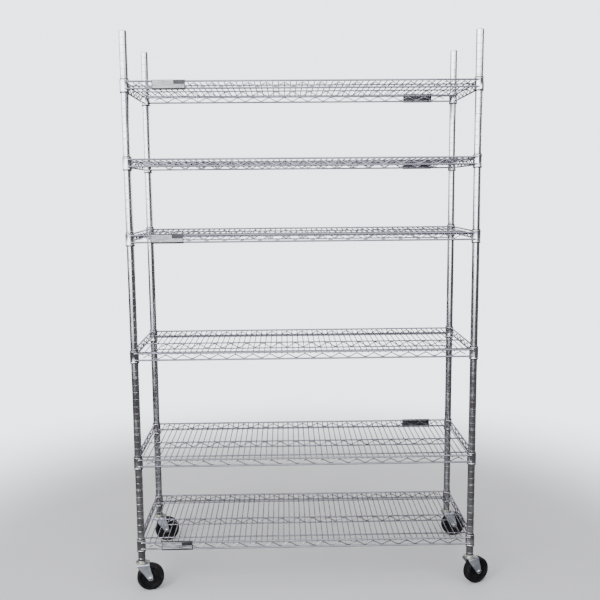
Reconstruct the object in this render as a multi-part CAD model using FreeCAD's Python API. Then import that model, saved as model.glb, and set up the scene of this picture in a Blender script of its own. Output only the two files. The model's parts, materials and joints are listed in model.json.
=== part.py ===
import FreeCAD, Part
import math
import os

# Mobile wire shelving rack: four grooved tube posts on swivel casters carry six welded wire
# shelves.  Each shelf hangs by four corner collars on split tapered sleeves that lock into a post
# groove, so it lifts straight up off its sleeves.
# Millimetres.  Origin on the floor, midway between the four posts.  +X runs along the rack,
# +Y to its back and +Z up.

V = FreeCAD.Vector
AXIS_X = V(1, 0, 0)
AXIS_Y = V(0, 1, 0)
AXIS_Z = V(0, 0, 1)
ORIGIN = V(0, 0, 0)

# ---------------------------------------------------------------- driving dimensions: the posts
POST_SPACING_X = 1181.1
POST_SPACING_Y = 419.1
POST_RADIUS = 12.7
POST_WALL = 1.2
POST_BOTTOM = 108.0
POST_TOP = 1944.0
GROOVE_PITCH = 25.4
GROOVE_COUNT = 72
FIRST_GROOVE = 12.5
GROOVE_DEPTH = 0.6
GROOVE_MOUTH = 2.2
GROOVE_FLOOR = 0.7
DOUBLE_GROOVE_START = 2
DOUBLE_GROOVE_EVERY = 8
DOUBLE_GROOVE_GAP = 4.5
CAP_RADIUS = 12.2
CAP_THICKNESS = 2.0
CAP_EDGE = 0.8
CAP_SKIRT = 12.0
CAP_SKIRT_WALL = 1.2

# ---------------------------------------------------------------- shelf heights and corners
# The groove that each shelf's sleeves lock into, counted up from the lower end of a post.
SHELF_GROOVES = {1: 2, 2: 14, 3: 29, 4: 45, 5: 55, 6: 65}
GROOVE_TO_COLLAR_TOP = 18.0
COLLAR_HEIGHT = 41.0
COLLAR_RADIUS = 15.9
COLLAR_BORE_TOP = 14.2
COLLAR_BORE_BOTTOM = 14.8
COLLAR_EDGE = 0.6
SLEEVE_GAP = 0.3
SLEEVE_ABOVE = 3.2
SLEEVE_LIP_HEIGHT = 2.4
SLEEVE_LIP_RADIUS = 16.2
SLEEVE_POST_GAP = 0.05
SLEEVE_RIDGE_REACH = 0.35
SLEEVE_RIDGE_HEIGHT = 0.6
SLEEVE_SPLIT = 0.8
# A tapered wall is made of short steps, so that it meshes as finely as the wall beside it.
TAPER_STEPS = 10

# ---------------------------------------------------------------- shelf wires, below collar top
EDGE_WIRE_RADIUS = 3.1
SURFACE_WIRE_RADIUS = 1.7
WAVE_WIRE_RADIUS = 1.75
RIB_RADIUS = 2.4
UPPER_WIRE_DROP = 7.6
LOWER_WIRE_DROP = 31.0
SURFACE_WIRE_DROP = 11.7
RIB_DROP = 15.3
MID_LOWER_DROP = 36.4
WELD_SINK = 0.6
FRONT_WIRE_OFFSET = 14.2
SIDE_WIRE_OFFSET = 10.35
FRONT_WIRE_END = 4.0
SURFACE_PITCH = 20.0
SURFACE_WIRES_EACH_SIDE = 29
SURFACE_WIRE_END = 1.6
RIB_Y = 165.0
MID_LOWER_HALF_LENGTH = 550.0
WAVE_PERIOD = 60.0
WAVE_BEND = 14.0
WAVE_TAIL = 13.0
LONG_WAVE_CRESTS = 37
MID_WAVE_CRESTS = 35
SIDE_WAVE_CRESTS = 11

# ---------------------------------------------------------------- label holders
LABEL_LENGTH = 110.0
LABEL_SHEET = 1.2
LABEL_STANDOFF = 0.3
LABEL_HOOK_REACH = 3.6
LABEL_HOOK_LIP = 2.6
# Shelf number: (middle along X, which edge: -1 front, +1 back) of each holder on that shelf.
LABEL_PLACES = {
    1: [(-460.0, -1)],
    2: [(462.0, 1)],
    4: [(-463.0, -1)],
    5: [(455.0, 1)],
    6: [(-443.0, -1), (455.0, 1)],
}

# ---------------------------------------------------------------- casters
WHEEL_RADIUS = 48.0
WHEEL_TRAIL = 29.0
TYRE_HALF_WIDTH = 15.0
TYRE_SHOULDER = 7.0
TYRE_INNER_RADIUS = 38.0
CORE_HALF_WIDTH = 13.0
CORE_WEB_HALF = 8.5
CORE_WEB_OUTER = 33.0
CORE_DRAFT = 2.0
CORE_HUB_RADIUS = 14.0
CORE_HUB_HALF = 17.4
BUSHING_RADIUS = 6.0
BUSHING_RUNNING_GAP = 0.06
AXLE_RADIUS = 4.0
AXLE_HOLE_GAP = 0.1
AXLE_HEAD_RADIUS = 6.5
AXLE_HEAD_HEIGHT = 3.2
# The domed head in steps: (share of its radius, share of its height).
AXLE_HEAD_DOME = [(1.0, 0.3), (0.8, 0.8), (0.4, 1.0)]
NUT_FLATS = 13.0
NUT_HEIGHT = 5.0
THREAD_TAIL = 2.0
PIN_CHAMFER = 1.0
FORK_FRONT = 17.0
FORK_REAR = 27.0
FORK_SHEET = 2.5
FORK_INNER_HALF = 18.7
FORK_TOP = 101.5
FORK_TIP_RADIUS = 9.5
FORK_BEND = 1.5
FORK_BLANK_LENGTH = 200.0
LEG_SHOULDER_DROP = 5.0
RACE_RADIUS = 21.5
RACE_TOP = 107.8
RACE_SHEET = 2.4
RACE_SKIRT = 2.6
RACE_BEAD_INNER = 7.5
RACE_BEAD_OUTER = 12.6
RACE_BEAD_HEIGHT = 1.6
BALL_RADIUS = 1.6
BALL_CIRCLE = 15.6
BALL_COUNT = 14
STEM_RADIUS = 5.5
STEM_HEIGHT = 42.0
STEM_HEAD_RADIUS = 8.5
STEM_HEAD_HEIGHT = 2.4
STEM_HEAD_GAP = 0.4
KINGPIN_GAP = 0.08
SOCKET_GAP = 0.05
SOCKET_HEIGHT = 45.0

# Corner name: (side along X, side along Y, way that the wheel trails in degrees from +X).
CORNERS = {
    "front_left": (-1, -1, 8.0),
    "front_right": (1, -1, 25.0),
    "back_left": (-1, 1, 5.0),
    "back_right": (1, 1, 8.0),
}

# ---------------------------------------------------------------- places that follow from them
HALF_X = POST_SPACING_X / 2
HALF_Y = POST_SPACING_Y / 2
FRONT_WIRE_Y = HALF_Y + FRONT_WIRE_OFFSET
SIDE_WIRE_X = HALF_X + SIDE_WIRE_OFFSET
POST_BORE = POST_RADIUS - POST_WALL
AXLE_HEIGHT = WHEEL_RADIUS
FORK_UNDERSIDE = FORK_TOP - FORK_SHEET
FORK_OUTER_HALF = FORK_INNER_HALF + FORK_SHEET
EDGE_WAVE_PEAK = SURFACE_WIRE_DROP + SURFACE_WIRE_RADIUS + WAVE_WIRE_RADIUS - WELD_SINK
EDGE_WAVE_TROUGH = LOWER_WIRE_DROP - EDGE_WIRE_RADIUS - WAVE_WIRE_RADIUS + WELD_SINK
MID_WAVE_PEAK = RIB_DROP + RIB_RADIUS + WAVE_WIRE_RADIUS - WELD_SINK
MID_WAVE_TROUGH = MID_LOWER_DROP - RIB_RADIUS - WAVE_WIRE_RADIUS + WELD_SINK


def groove_height(number):
    """Height above the floor of the middle of a groove."""
    return POST_BOTTOM + FIRST_GROOVE + number * GROOVE_PITCH


def collar_top(shelf):
    """Height above the floor of the top of a shelf's corner collars."""
    return groove_height(SHELF_GROOVES[shelf]) + GROOVE_TO_COLLAR_TOP


def at_corners(shape):
    """Copies of a shape, built on the Z axis, one on each post axis."""
    return [shape.translated(V(sx * HALF_X, sy * HALF_Y, 0)) for sx, sy, _ in CORNERS.values()]


def turned(profile):
    """A solid of revolution about Z from closed (radius, height) points."""
    points = [V(r, 0, z) for r, z in profile]
    face = Part.Face(Part.makePolygon(points + points[:1]))
    return face.revolve(ORIGIN, AXIS_Z, 360)


def taper(start, end):
    """Evenly spaced (radius, height) points along a tapered wall, both ends among them."""
    shares = [number / TAPER_STEPS for number in range(TAPER_STEPS + 1)]
    return [(start[0] + (end[0] - start[0]) * t, start[1] + (end[1] - start[1]) * t) for t in shares]


def rod(radius, start, end):
    """A straight round wire between two points."""
    return Part.makeCylinder(radius, (end - start).Length, start, end - start)


def save(node, solids):
    """Write one named piece, or a group of identical pieces, as a STEP file."""
    shape = solids[0] if len(solids) == 1 else Part.makeCompound(solids)
    shape.exportStep("parts/" + node + ".step")
    print(node, len(shape.Solids), "solids", round(shape.Volume), "mm3")


# ---------------------------------------------------------------- posts and what is fixed to them
def post_outline():
    """(radius, height) points up the outside of a grooved post tube."""
    centres = []
    for number in range(GROOVE_COUNT):
        centres.append(groove_height(number))
        if number % DOUBLE_GROOVE_EVERY == DOUBLE_GROOVE_START:
            centres.append(groove_height(number) + DOUBLE_GROOVE_GAP)
    outline = [(POST_RADIUS, POST_BOTTOM)]
    for z in centres:
        outline.append((POST_RADIUS, z - GROOVE_MOUTH / 2))
        outline.append((POST_RADIUS - GROOVE_DEPTH, z - GROOVE_FLOOR / 2))
        outline.append((POST_RADIUS - GROOVE_DEPTH, z + GROOVE_FLOOR / 2))
        outline.append((POST_RADIUS, z + GROOVE_MOUTH / 2))
    outline.append((POST_RADIUS, POST_TOP))
    return outline


def post_tube():
    """A hollow post, open at both ends."""
    return turned(post_outline() + [(POST_BORE, POST_TOP), (POST_BORE, POST_BOTTOM)])


def post_cap():
    """A cap whose skirt plugs the top of a post."""
    skirt_radius = POST_BORE - SOCKET_GAP
    top = POST_TOP + CAP_THICKNESS
    return turned([
        (0, top),
        (CAP_RADIUS - CAP_EDGE, top),
        (CAP_RADIUS, top - CAP_EDGE),
        (CAP_RADIUS, POST_TOP),
        (skirt_radius, POST_TOP),
        (skirt_radius, POST_TOP - CAP_SKIRT),
        (skirt_radius - CAP_SKIRT_WALL, POST_TOP - CAP_SKIRT),
        (skirt_radius - CAP_SKIRT_WALL, POST_TOP),
        (0, POST_TOP),
    ])


def sleeve_halves(shelf):
    """The two halves of one tapered sleeve, ridged inside to sit in a groove."""
    top = collar_top(shelf)
    groove = groove_height(SHELF_GROOVES[shelf])
    foot = top - COLLAR_HEIGHT - SLEEVE_GAP
    inner = POST_RADIUS + SLEEVE_POST_GAP
    ridge = POST_RADIUS - SLEEVE_RIDGE_REACH
    half_ridge = SLEEVE_RIDGE_HEIGHT / 2
    upper = (COLLAR_BORE_TOP - SLEEVE_GAP, top)
    lower = (COLLAR_BORE_BOTTOM - SLEEVE_GAP, foot)
    whole = turned([
        (inner, top + SLEEVE_ABOVE),
        (COLLAR_BORE_TOP - SLEEVE_GAP, top + SLEEVE_ABOVE),
        *taper(upper, lower),
        (SLEEVE_LIP_RADIUS, foot),
        (SLEEVE_LIP_RADIUS, foot - SLEEVE_LIP_HEIGHT),
        (inner, foot - SLEEVE_LIP_HEIGHT),
        (inner, groove - GROOVE_MOUTH / 2),
        (ridge, groove - half_ridge),
        (ridge, groove + half_ridge),
        (inner, groove + GROOVE_MOUTH / 2),
    ])
    reach = 2 * SLEEVE_LIP_RADIUS
    height = COLLAR_HEIGHT + 4 * SLEEVE_LIP_HEIGHT
    corner = V(-SLEEVE_SPLIT / 2, -reach / 2, foot - 2 * SLEEVE_LIP_HEIGHT)
    return whole.cut(Part.makeBox(SLEEVE_SPLIT, reach, height, corner)).Solids


def stem_socket():
    """The plug in the foot of a post that takes a caster stem."""
    return turned([
        (STEM_RADIUS + SOCKET_GAP, POST_BOTTOM),
        (POST_BORE - SOCKET_GAP, POST_BOTTOM),
        (POST_BORE - SOCKET_GAP, POST_BOTTOM + SOCKET_HEIGHT),
        (STEM_RADIUS + SOCKET_GAP, POST_BOTTOM + SOCKET_HEIGHT),
    ])


def caster_stem():
    """Stem and kingpin in one: up into the post, down through the fork to a riveted head."""
    head_top = FORK_UNDERSIDE - STEM_HEAD_GAP
    top = POST_BOTTOM + STEM_HEIGHT
    return turned([
        (0, head_top - STEM_HEAD_HEIGHT),
        (STEM_HEAD_RADIUS, head_top - STEM_HEAD_HEIGHT),
        (STEM_HEAD_RADIUS, head_top),
        (STEM_RADIUS, head_top),
        (STEM_RADIUS, top - PIN_CHAMFER),
        (STEM_RADIUS - PIN_CHAMFER, top),
        (0, top),
    ])


def race_cup():
    """The upper race: a flanged cup, open downwards, under the foot of a post."""
    under = RACE_TOP - RACE_SHEET
    inner = STEM_RADIUS + SOCKET_GAP
    return turned([
        (inner, RACE_TOP),
        (RACE_RADIUS - RACE_SHEET, RACE_TOP),
        (RACE_RADIUS, under),
        (RACE_RADIUS, under - RACE_SKIRT),
        (RACE_RADIUS - RACE_SHEET, under - RACE_SKIRT),
        (RACE_RADIUS - RACE_SHEET, under),
        (inner, under),
    ])


def bearing_balls():
    """The ring of balls that runs between the race cup and the fork."""
    z = RACE_TOP - RACE_SHEET - BALL_RADIUS - SOCKET_GAP
    balls = []
    for number in range(BALL_COUNT):
        angle = 2 * math.pi * number / BALL_COUNT
        centre = V(BALL_CIRCLE * math.cos(angle), BALL_CIRCLE * math.sin(angle), z)
        balls.append(Part.makeSphere(BALL_RADIUS, centre))
    return balls


# ---------------------------------------------------------------- shelves
def corner_collar(top):
    """A collar with a tapered bore, wider at its foot."""
    foot = top - COLLAR_HEIGHT
    return turned([
        (COLLAR_RADIUS - COLLAR_EDGE, top),
        (COLLAR_RADIUS, top - COLLAR_EDGE),
        (COLLAR_RADIUS, foot + COLLAR_EDGE),
        (COLLAR_RADIUS - COLLAR_EDGE, foot),
        *taper((COLLAR_BORE_BOTTOM, foot), (COLLAR_BORE_TOP, top)),
    ])


def collar_envelopes(top):
    """Solid cylinders the size of the collars, for trimming the wires that meet them."""
    blank = Part.makeCylinder(COLLAR_RADIUS, COLLAR_HEIGHT, V(0, 0, top - COLLAR_HEIGHT))
    return at_corners(blank)


def surface_grille(top):
    """Cross wires welded over three long ribs, as one mat trimmed to the collars."""
    wires = []
    z = top - SURFACE_WIRE_DROP
    for number in range(-SURFACE_WIRES_EACH_SIDE, SURFACE_WIRES_EACH_SIDE + 1):
        x = number * SURFACE_PITCH
        reach = FRONT_WIRE_Y + SURFACE_WIRE_END
        if abs(number) == SURFACE_WIRES_EACH_SIDE:
            reach = HALF_Y
        wires.append(rod(SURFACE_WIRE_RADIUS, V(x, -reach, z), V(x, reach, z)))
    ribs = []
    for y in (-RIB_Y, 0, RIB_Y):
        ends = [V(side * SIDE_WIRE_X, y, top - RIB_DROP) for side in (-1, 1)]
        ribs.append(rod(RIB_RADIUS, ends[0], ends[1]))
    mat = ribs[0].multiFuse(ribs[1:] + wires)
    return mat.cut(collar_envelopes(top)).Solids


def frame_wires(top):
    """Upper and lower perimeter wires and the lower wire of the middle truss.

    The long perimeter wires lap the collars and the short ones butt on them.
    """
    long_reach = HALF_X - FRONT_WIRE_END
    wires = []
    for drop in (UPPER_WIRE_DROP, LOWER_WIRE_DROP):
        z = top - drop
        for side in (-1, 1):
            y = side * FRONT_WIRE_Y
            wires.append(rod(EDGE_WIRE_RADIUS, V(-long_reach, y, z), V(long_reach, y, z)))
            x = side * SIDE_WIRE_X
            wires.append(rod(EDGE_WIRE_RADIUS, V(x, -HALF_Y, z), V(x, HALF_Y, z)))
    envelopes = collar_envelopes(top)
    trimmed = [wire.cut(envelopes).Solids[0] for wire in wires]
    ends = [V(side * MID_LOWER_HALF_LENGTH, 0, top - MID_LOWER_DROP) for side in (-1, 1)]
    return trimmed + [rod(RIB_RADIUS, ends[0], ends[1])]


def wave_path(crests, peak, trough, starts_high):
    """The edges of a snaking line along X: an arc at each crest, slopes between, cut-off tails."""
    half = WAVE_PERIOD / 2
    lift = 2 * WAVE_BEND - (peak - trough)
    slope = math.asin(2 * WAVE_BEND / math.hypot(half, lift)) - math.atan2(lift, half)
    run = WAVE_BEND * math.sin(slope)
    fall = WAVE_BEND * (1 - math.cos(slope))
    tail_run = WAVE_TAIL * math.cos(slope)
    tail_fall = WAVE_TAIL * math.sin(slope)
    edges = []
    last = None
    for number in range(crests):
        high = (number % 2 == 0) == starts_high
        sign = 1 if high else -1
        crest = V((number - (crests - 1) / 2) * half, 0, peak if high else trough)
        into = crest + V(-run, 0, -sign * fall)
        out = crest + V(run, 0, -sign * fall)
        start = last or into + V(-tail_run, 0, -sign * tail_fall)
        edges.append(Part.LineSegment(start, into).toShape())
        edges.append(Part.Arc(into, crest, out).toShape())
        last = out
    edges.append(Part.LineSegment(last, last + V(tail_run, 0, -sign * tail_fall)).toShape())
    return edges


def wave_wire(crests, peak, trough, starts_high):
    """A round wire swept along a wave."""
    edges = wave_path(crests, peak, trough, starts_high)
    first = edges[0]
    start = first.valueAt(first.FirstParameter)
    circle = Part.makeCircle(WAVE_WIRE_RADIUS, start, first.tangentAt(first.FirstParameter))
    return Part.Wire(edges).makePipeShell([Part.Wire(circle)], True, False)


def truss_waves(top):
    """The snaking wires of the four edge trusses and of the middle truss."""
    peak = top - EDGE_WAVE_PEAK
    trough = top - EDGE_WAVE_TROUGH
    long_wave = wave_wire(LONG_WAVE_CRESTS, peak, trough, True)
    side_wave = wave_wire(SIDE_WAVE_CRESTS, peak, trough, False)
    side_wave.rotate(ORIGIN, AXIS_Z, 90)
    waves = []
    for side in (-1, 1):
        waves.append(long_wave.translated(V(0, side * FRONT_WIRE_Y, 0)))
        waves.append(side_wave.translated(V(side * SIDE_WIRE_X, 0, 0)))
    waves.append(wave_wire(MID_WAVE_CRESTS, top - MID_WAVE_PEAK, top - MID_WAVE_TROUGH, True))
    return waves


def label_holder(top, middle, side):
    """A sheet strip hooked over the upper and under the lower wire of a long edge."""
    inner = EDGE_WIRE_RADIUS + LABEL_STANDOFF
    outer = inner + LABEL_SHEET
    lip_outer = -LABEL_HOOK_REACH - LABEL_SHEET
    over = top - UPPER_WIRE_DROP + inner
    under = top - LOWER_WIRE_DROP - inner
    profile = [
        (-LABEL_HOOK_REACH, over - LABEL_HOOK_LIP),
        (-LABEL_HOOK_REACH, over),
        (inner, over),
        (inner, under),
        (-LABEL_HOOK_REACH, under),
        (-LABEL_HOOK_REACH, under + LABEL_HOOK_LIP),
        (lip_outer, under + LABEL_HOOK_LIP),
        (lip_outer, under - LABEL_SHEET),
        (outer, under - LABEL_SHEET),
        (outer, over + LABEL_SHEET),
        (lip_outer, over + LABEL_SHEET),
        (lip_outer, over - LABEL_HOOK_LIP),
    ]
    x = middle - LABEL_LENGTH / 2
    points = [V(x, side * (FRONT_WIRE_Y + out), z) for out, z in profile]
    return Part.Face(Part.makePolygon(points + points[:1])).extrude(V(LABEL_LENGTH, 0, 0))


# ---------------------------------------------------------------- casters, trailing along +X
def tangent_point(start, centre, radius, side):
    """Where a line from a point touches a circle in the XZ plane, on the chosen side."""
    away = start - centre
    angle = math.atan2(away.z, away.x) + side * math.acos(radius / away.Length)
    return centre + V(radius * math.cos(angle), 0, radius * math.sin(angle))


def fork_silhouette():
    """The side view of the fork: a flat top with legs that taper to a round tip."""
    tip = V(WHEEL_TRAIL, -FORK_OUTER_HALF, AXLE_HEIGHT)
    shoulder = FORK_UNDERSIDE - LEG_SHOULDER_DROP
    front = V(-FORK_FRONT, -FORK_OUTER_HALF, shoulder)
    rear = V(FORK_REAR, -FORK_OUTER_HALF, shoulder)
    low = tangent_point(front, tip, FORK_TIP_RADIUS, 1)
    high = tangent_point(rear, tip, FORK_TIP_RADIUS, -1)
    up = (low - tip) + (high - tip)
    foot = tip - up * (FORK_TIP_RADIUS / up.Length)
    top_front = V(-FORK_FRONT, -FORK_OUTER_HALF, FORK_TOP)
    top_rear = V(FORK_REAR, -FORK_OUTER_HALF, FORK_TOP)
    sides = [(top_front, front), (front, low), (high, rear), (rear, top_rear), (top_rear, top_front)]
    edges = [Part.LineSegment(a, b).toShape() for a, b in sides]
    edges.append(Part.Arc(low, foot, high).toShape())
    return Part.Face(Part.Wire(Part.sortEdges(edges)[0]))


def caster_fork():
    """A pressed sheet fork: folded top, two legs, and the raised lower race around the kingpin."""
    width = 2 * FORK_OUTER_HALF
    legs = fork_silhouette().extrude(V(0, width, 0))
    corner = V(-FORK_BLANK_LENGTH / 2, -FORK_INNER_HALF, 0)
    inside = Part.makeBox(FORK_BLANK_LENGTH, 2 * FORK_INNER_HALF, FORK_UNDERSIDE, corner)
    inside = inside.makeFillet(FORK_BEND, top_long_edges(inside))
    legs = legs.makeFillet(FORK_BEND + FORK_SHEET, top_long_edges(legs))
    fork = legs.cut(inside)
    bead = turned([
        (RACE_BEAD_INNER, FORK_TOP),
        (RACE_BEAD_INNER, FORK_TOP + RACE_BEAD_HEIGHT),
        (RACE_BEAD_OUTER - RACE_BEAD_HEIGHT, FORK_TOP + RACE_BEAD_HEIGHT),
        (RACE_BEAD_OUTER, FORK_TOP),
    ])
    fork = fork.fuse(bead)
    kingpin_hole = Part.makeCylinder(STEM_RADIUS + KINGPIN_GAP, FORK_TOP, V(0, 0, AXLE_HEIGHT))
    axle_start = V(WHEEL_TRAIL, -width, AXLE_HEIGHT)
    axle_hole = Part.makeCylinder(AXLE_RADIUS + AXLE_HOLE_GAP, 2 * width, axle_start, AXIS_Y)
    return fork.cut([kingpin_hole, axle_hole]).removeSplitter().Solids


def top_long_edges(block):
    """The straight edges along X at the top of a block."""
    top = block.BoundBox.ZMax
    found = []
    for edge in block.Edges:
        box = edge.BoundBox
        if box.ZMin > top - 0.01 and box.YLength < 0.01:
            found.append(edge)
    return found


def on_axle(shape):
    """Move a shape turned about Z onto the wheel axle, its +Z end towards -Y."""
    shape.rotate(ORIGIN, AXIS_X, 90)
    shape.translate(V(WHEEL_TRAIL, 0, AXLE_HEIGHT))
    return shape


def wheel_tyre():
    """A tyre band with rounded shoulders."""
    side = TYRE_HALF_WIDTH
    flank = WHEEL_RADIUS - TYRE_SHOULDER
    tread = side - TYRE_SHOULDER
    diagonal = TYRE_SHOULDER * math.sqrt(0.5)
    corners = [
        V(TYRE_INNER_RADIUS, 0, -side),
        V(flank, 0, -side),
        V(WHEEL_RADIUS, 0, -tread),
        V(WHEEL_RADIUS, 0, tread),
        V(flank, 0, side),
        V(TYRE_INNER_RADIUS, 0, side),
    ]
    edges = [
        Part.LineSegment(corners[0], corners[1]).toShape(),
        Part.Arc(corners[1], V(flank + diagonal, 0, -tread - diagonal), corners[2]).toShape(),
        Part.LineSegment(corners[2], corners[3]).toShape(),
        Part.Arc(corners[3], V(flank + diagonal, 0, tread + diagonal), corners[4]).toShape(),
        Part.LineSegment(corners[4], corners[5]).toShape(),
        Part.LineSegment(corners[5], corners[0]).toShape(),
    ]
    return on_axle(Part.Face(Part.Wire(edges)).revolve(ORIGIN, AXIS_Z, 360))


def wheel_core():
    """The wheel body: hub, recessed web and rim, bored to run on the bushing."""
    bore = BUSHING_RADIUS + BUSHING_RUNNING_GAP
    rim = TYRE_INNER_RADIUS - SOCKET_GAP
    upper = [
        (rim, CORE_HALF_WIDTH),
        (CORE_WEB_OUTER + CORE_DRAFT, CORE_HALF_WIDTH),
        (CORE_WEB_OUTER, CORE_WEB_HALF),
        (CORE_HUB_RADIUS + CORE_DRAFT, CORE_WEB_HALF),
        (CORE_HUB_RADIUS, CORE_HUB_HALF),
        (bore, CORE_HUB_HALF),
    ]
    lower = [(r, -z) for r, z in reversed(upper)]
    return on_axle(turned(upper + lower))


def wheel_bushing():
    """The spacer tube clamped between the fork legs, on which the wheel turns."""
    reach = FORK_INNER_HALF - SOCKET_GAP
    inner = AXLE_RADIUS + SOCKET_GAP
    tube = turned([
        (inner, -reach),
        (BUSHING_RADIUS, -reach),
        (BUSHING_RADIUS, reach),
        (inner, reach),
    ])
    return on_axle(tube)


def axle_bolt():
    """A domed bolt through the fork and bushing, and its hexagon nut."""
    under_head = FORK_OUTER_HALF + SOCKET_GAP
    tail = FORK_OUTER_HALF + NUT_HEIGHT + THREAD_TAIL
    dome = [(AXLE_HEAD_RADIUS * r, under_head + AXLE_HEAD_HEIGHT * h) for r, h in AXLE_HEAD_DOME]
    bolt = turned([
        (0, -tail),
        (AXLE_RADIUS - PIN_CHAMFER, -tail),
        (AXLE_RADIUS, PIN_CHAMFER - tail),
        (AXLE_RADIUS, under_head),
        (AXLE_HEAD_RADIUS, under_head),
        *dome,
        (0, under_head + AXLE_HEAD_HEIGHT),
    ])
    across_corners = NUT_FLATS / math.sqrt(3)
    angles = [math.radians(60 * number) for number in range(7)]
    hexagon = [V(across_corners * math.cos(a), across_corners * math.sin(a), 0) for a in angles]
    nut = Part.Face(Part.makePolygon(hexagon)).extrude(V(0, 0, NUT_HEIGHT))
    nut = nut.cut(Part.makeCylinder(AXLE_RADIUS + SOCKET_GAP, NUT_HEIGHT))
    nut.translate(V(0, 0, -FORK_OUTER_HALF - SOCKET_GAP - NUT_HEIGHT))
    return [on_axle(bolt), on_axle(nut)]


def placed_caster_part(solids, corner):
    """Turn a caster's solids to the way that it trails and move them under its post."""
    side_x, side_y, trail_angle = CORNERS[corner]
    placed = []
    for solid in solids:
        copy = solid.copy()
        copy.rotate(ORIGIN, AXIS_Z, trail_angle)
        copy.translate(V(side_x * HALF_X, side_y * HALF_Y, 0))
        placed.append(copy)
    return placed


# ---------------------------------------------------------------- build and write every piece
os.makedirs("parts", exist_ok=True)

for name, post in zip(CORNERS, at_corners(post_tube())):
    save(name + "_post", [post])
save("post_caps", at_corners(post_cap()))
save("post_stem_sockets", at_corners(stem_socket()))
save("caster_stems", at_corners(caster_stem()))
save("caster_race_cups", at_corners(race_cup()))
save("swivel_bearing_balls", [ball for one in bearing_balls() for ball in at_corners(one)])
sleeves = [half for shelf in SHELF_GROOVES for half in sleeve_halves(shelf)]
save("split_post_sleeves", [copy for half in sleeves for copy in at_corners(half)])

first_top = collar_top(1)
shelf_parts = {
    "surface_grille": surface_grille(first_top),
    "frame_wires": frame_wires(first_top),
    "truss_waves": truss_waves(first_top),
    "corner_collars": at_corners(corner_collar(first_top)),
}
for shelf in SHELF_GROOVES:
    lift = V(0, 0, collar_top(shelf) - first_top)
    for part, solids in shelf_parts.items():
        save("shelf_%d_%s" % (shelf, part), [solid.translated(lift) for solid in solids])
    if shelf in LABEL_PLACES:
        holders = [label_holder(collar_top(shelf), x, side) for x, side in LABEL_PLACES[shelf]]
        save("shelf_%d_label_holders" % shelf, holders)

caster_parts = {
    "caster_fork": caster_fork(),
    "axle_bolt": axle_bolt(),
    "wheel_bushing": [wheel_bushing()],
    "wheel_core": [wheel_core()],
    "wheel_tyre": [wheel_tyre()],
}
for corner in CORNERS:
    for part, solids in caster_parts.items():
        save(corner + "_" + part, placed_caster_part(solids, corner))
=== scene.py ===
"""Looks of a mobile wire shelving rack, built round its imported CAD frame.

Sizes in the classes are millimetres.  Meshes are metres, in the frame's own axes: X along the
rack, Y to its back and Z up, with the floor at Z = 0.
"""

import functools
import json
import logging
import math
from collections.abc import Iterable, Sequence
from dataclasses import dataclass
from enum import Enum

import bmesh
import bpy
from bmesh.types import BMEdge, BMesh, BMFace, BMVert
from mathutils import Matrix, Vector


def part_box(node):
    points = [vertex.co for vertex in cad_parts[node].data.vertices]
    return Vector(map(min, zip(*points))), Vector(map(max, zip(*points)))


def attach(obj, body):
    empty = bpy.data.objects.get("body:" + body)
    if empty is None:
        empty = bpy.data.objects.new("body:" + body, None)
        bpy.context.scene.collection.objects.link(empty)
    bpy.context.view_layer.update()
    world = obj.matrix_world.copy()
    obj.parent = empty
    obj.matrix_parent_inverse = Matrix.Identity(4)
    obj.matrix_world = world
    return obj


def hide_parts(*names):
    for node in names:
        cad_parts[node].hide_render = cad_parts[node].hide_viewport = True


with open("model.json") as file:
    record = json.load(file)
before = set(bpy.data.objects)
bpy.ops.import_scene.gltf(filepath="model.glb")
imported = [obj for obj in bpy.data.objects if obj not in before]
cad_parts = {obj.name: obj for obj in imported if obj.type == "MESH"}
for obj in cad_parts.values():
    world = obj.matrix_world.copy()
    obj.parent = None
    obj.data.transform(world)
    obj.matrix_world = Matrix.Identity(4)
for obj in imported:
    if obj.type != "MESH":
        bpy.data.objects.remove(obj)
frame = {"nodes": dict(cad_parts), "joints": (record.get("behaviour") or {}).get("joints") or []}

log = logging.getLogger("rack")

MM = 0.001
WELD_DISTANCE = 1e-6
SHARP_ANGLE = math.radians(35)
SQUARE_ANGLE = math.radians(60)
ONTO_X = Matrix.Rotation(math.pi / 2, 4, "Y")
QUARTER = Matrix.Rotation(math.pi / 2, 4, "Z")
IN_PLACE = Matrix.Identity(4)
SHELVES = (1, 2, 3, 4, 5, 6)
Colour = tuple[float, float, float]
Profile = Sequence[tuple[float, float]]
Socket = bpy.types.NodeSocket


# ------------------------------------------------------------------ names taken from the frame
class Corner(Enum):
    """The four corners of the rack, by the prefix of their nodes and bodies."""

    FRONT_LEFT = "front_left"
    FRONT_RIGHT = "front_right"
    BACK_LEFT = "back_left"
    BACK_RIGHT = "back_right"

    def axis(self) -> Vector:
        """The point on the floor under the corner's post."""
        low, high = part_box(self.value + "_post")
        return Vector(((low.x + high.x) / 2, (low.y + high.y) / 2, 0))

    def caster_place(self) -> Matrix:
        """The place of a caster built at the origin and trailing along +X.

        Returns:
            The turn that the wheel's joint gives, then the move to the post.
        """
        spin = next(j for j in frame["joints"] if j["name"] == self.value + "_wheel_spin")
        across = Vector(spin["axis"])
        turn = Matrix.Rotation(math.atan2(-across.x, across.y), 4, "Z")
        return Matrix.Translation(self.axis()) @ turn


class Side(Enum):
    """The sign of a side: the low or the high end of an axis."""

    LOW = -1
    HIGH = 1

    def turn(self) -> Matrix:
        """No turn for the high side, half a turn about Z for the low side."""
        return Matrix.Rotation(0 if self is Side.HIGH else math.pi, 4, "Z")


def post_places() -> list[Matrix]:
    """The places of the four posts."""
    return [Matrix.Translation(corner.axis()) for corner in Corner]


def collar_top(shelf: int) -> float:
    """Height of the top of a shelf's collars, in metres."""
    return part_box(f"shelf_{shelf}_corner_collars")[1].z


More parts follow.
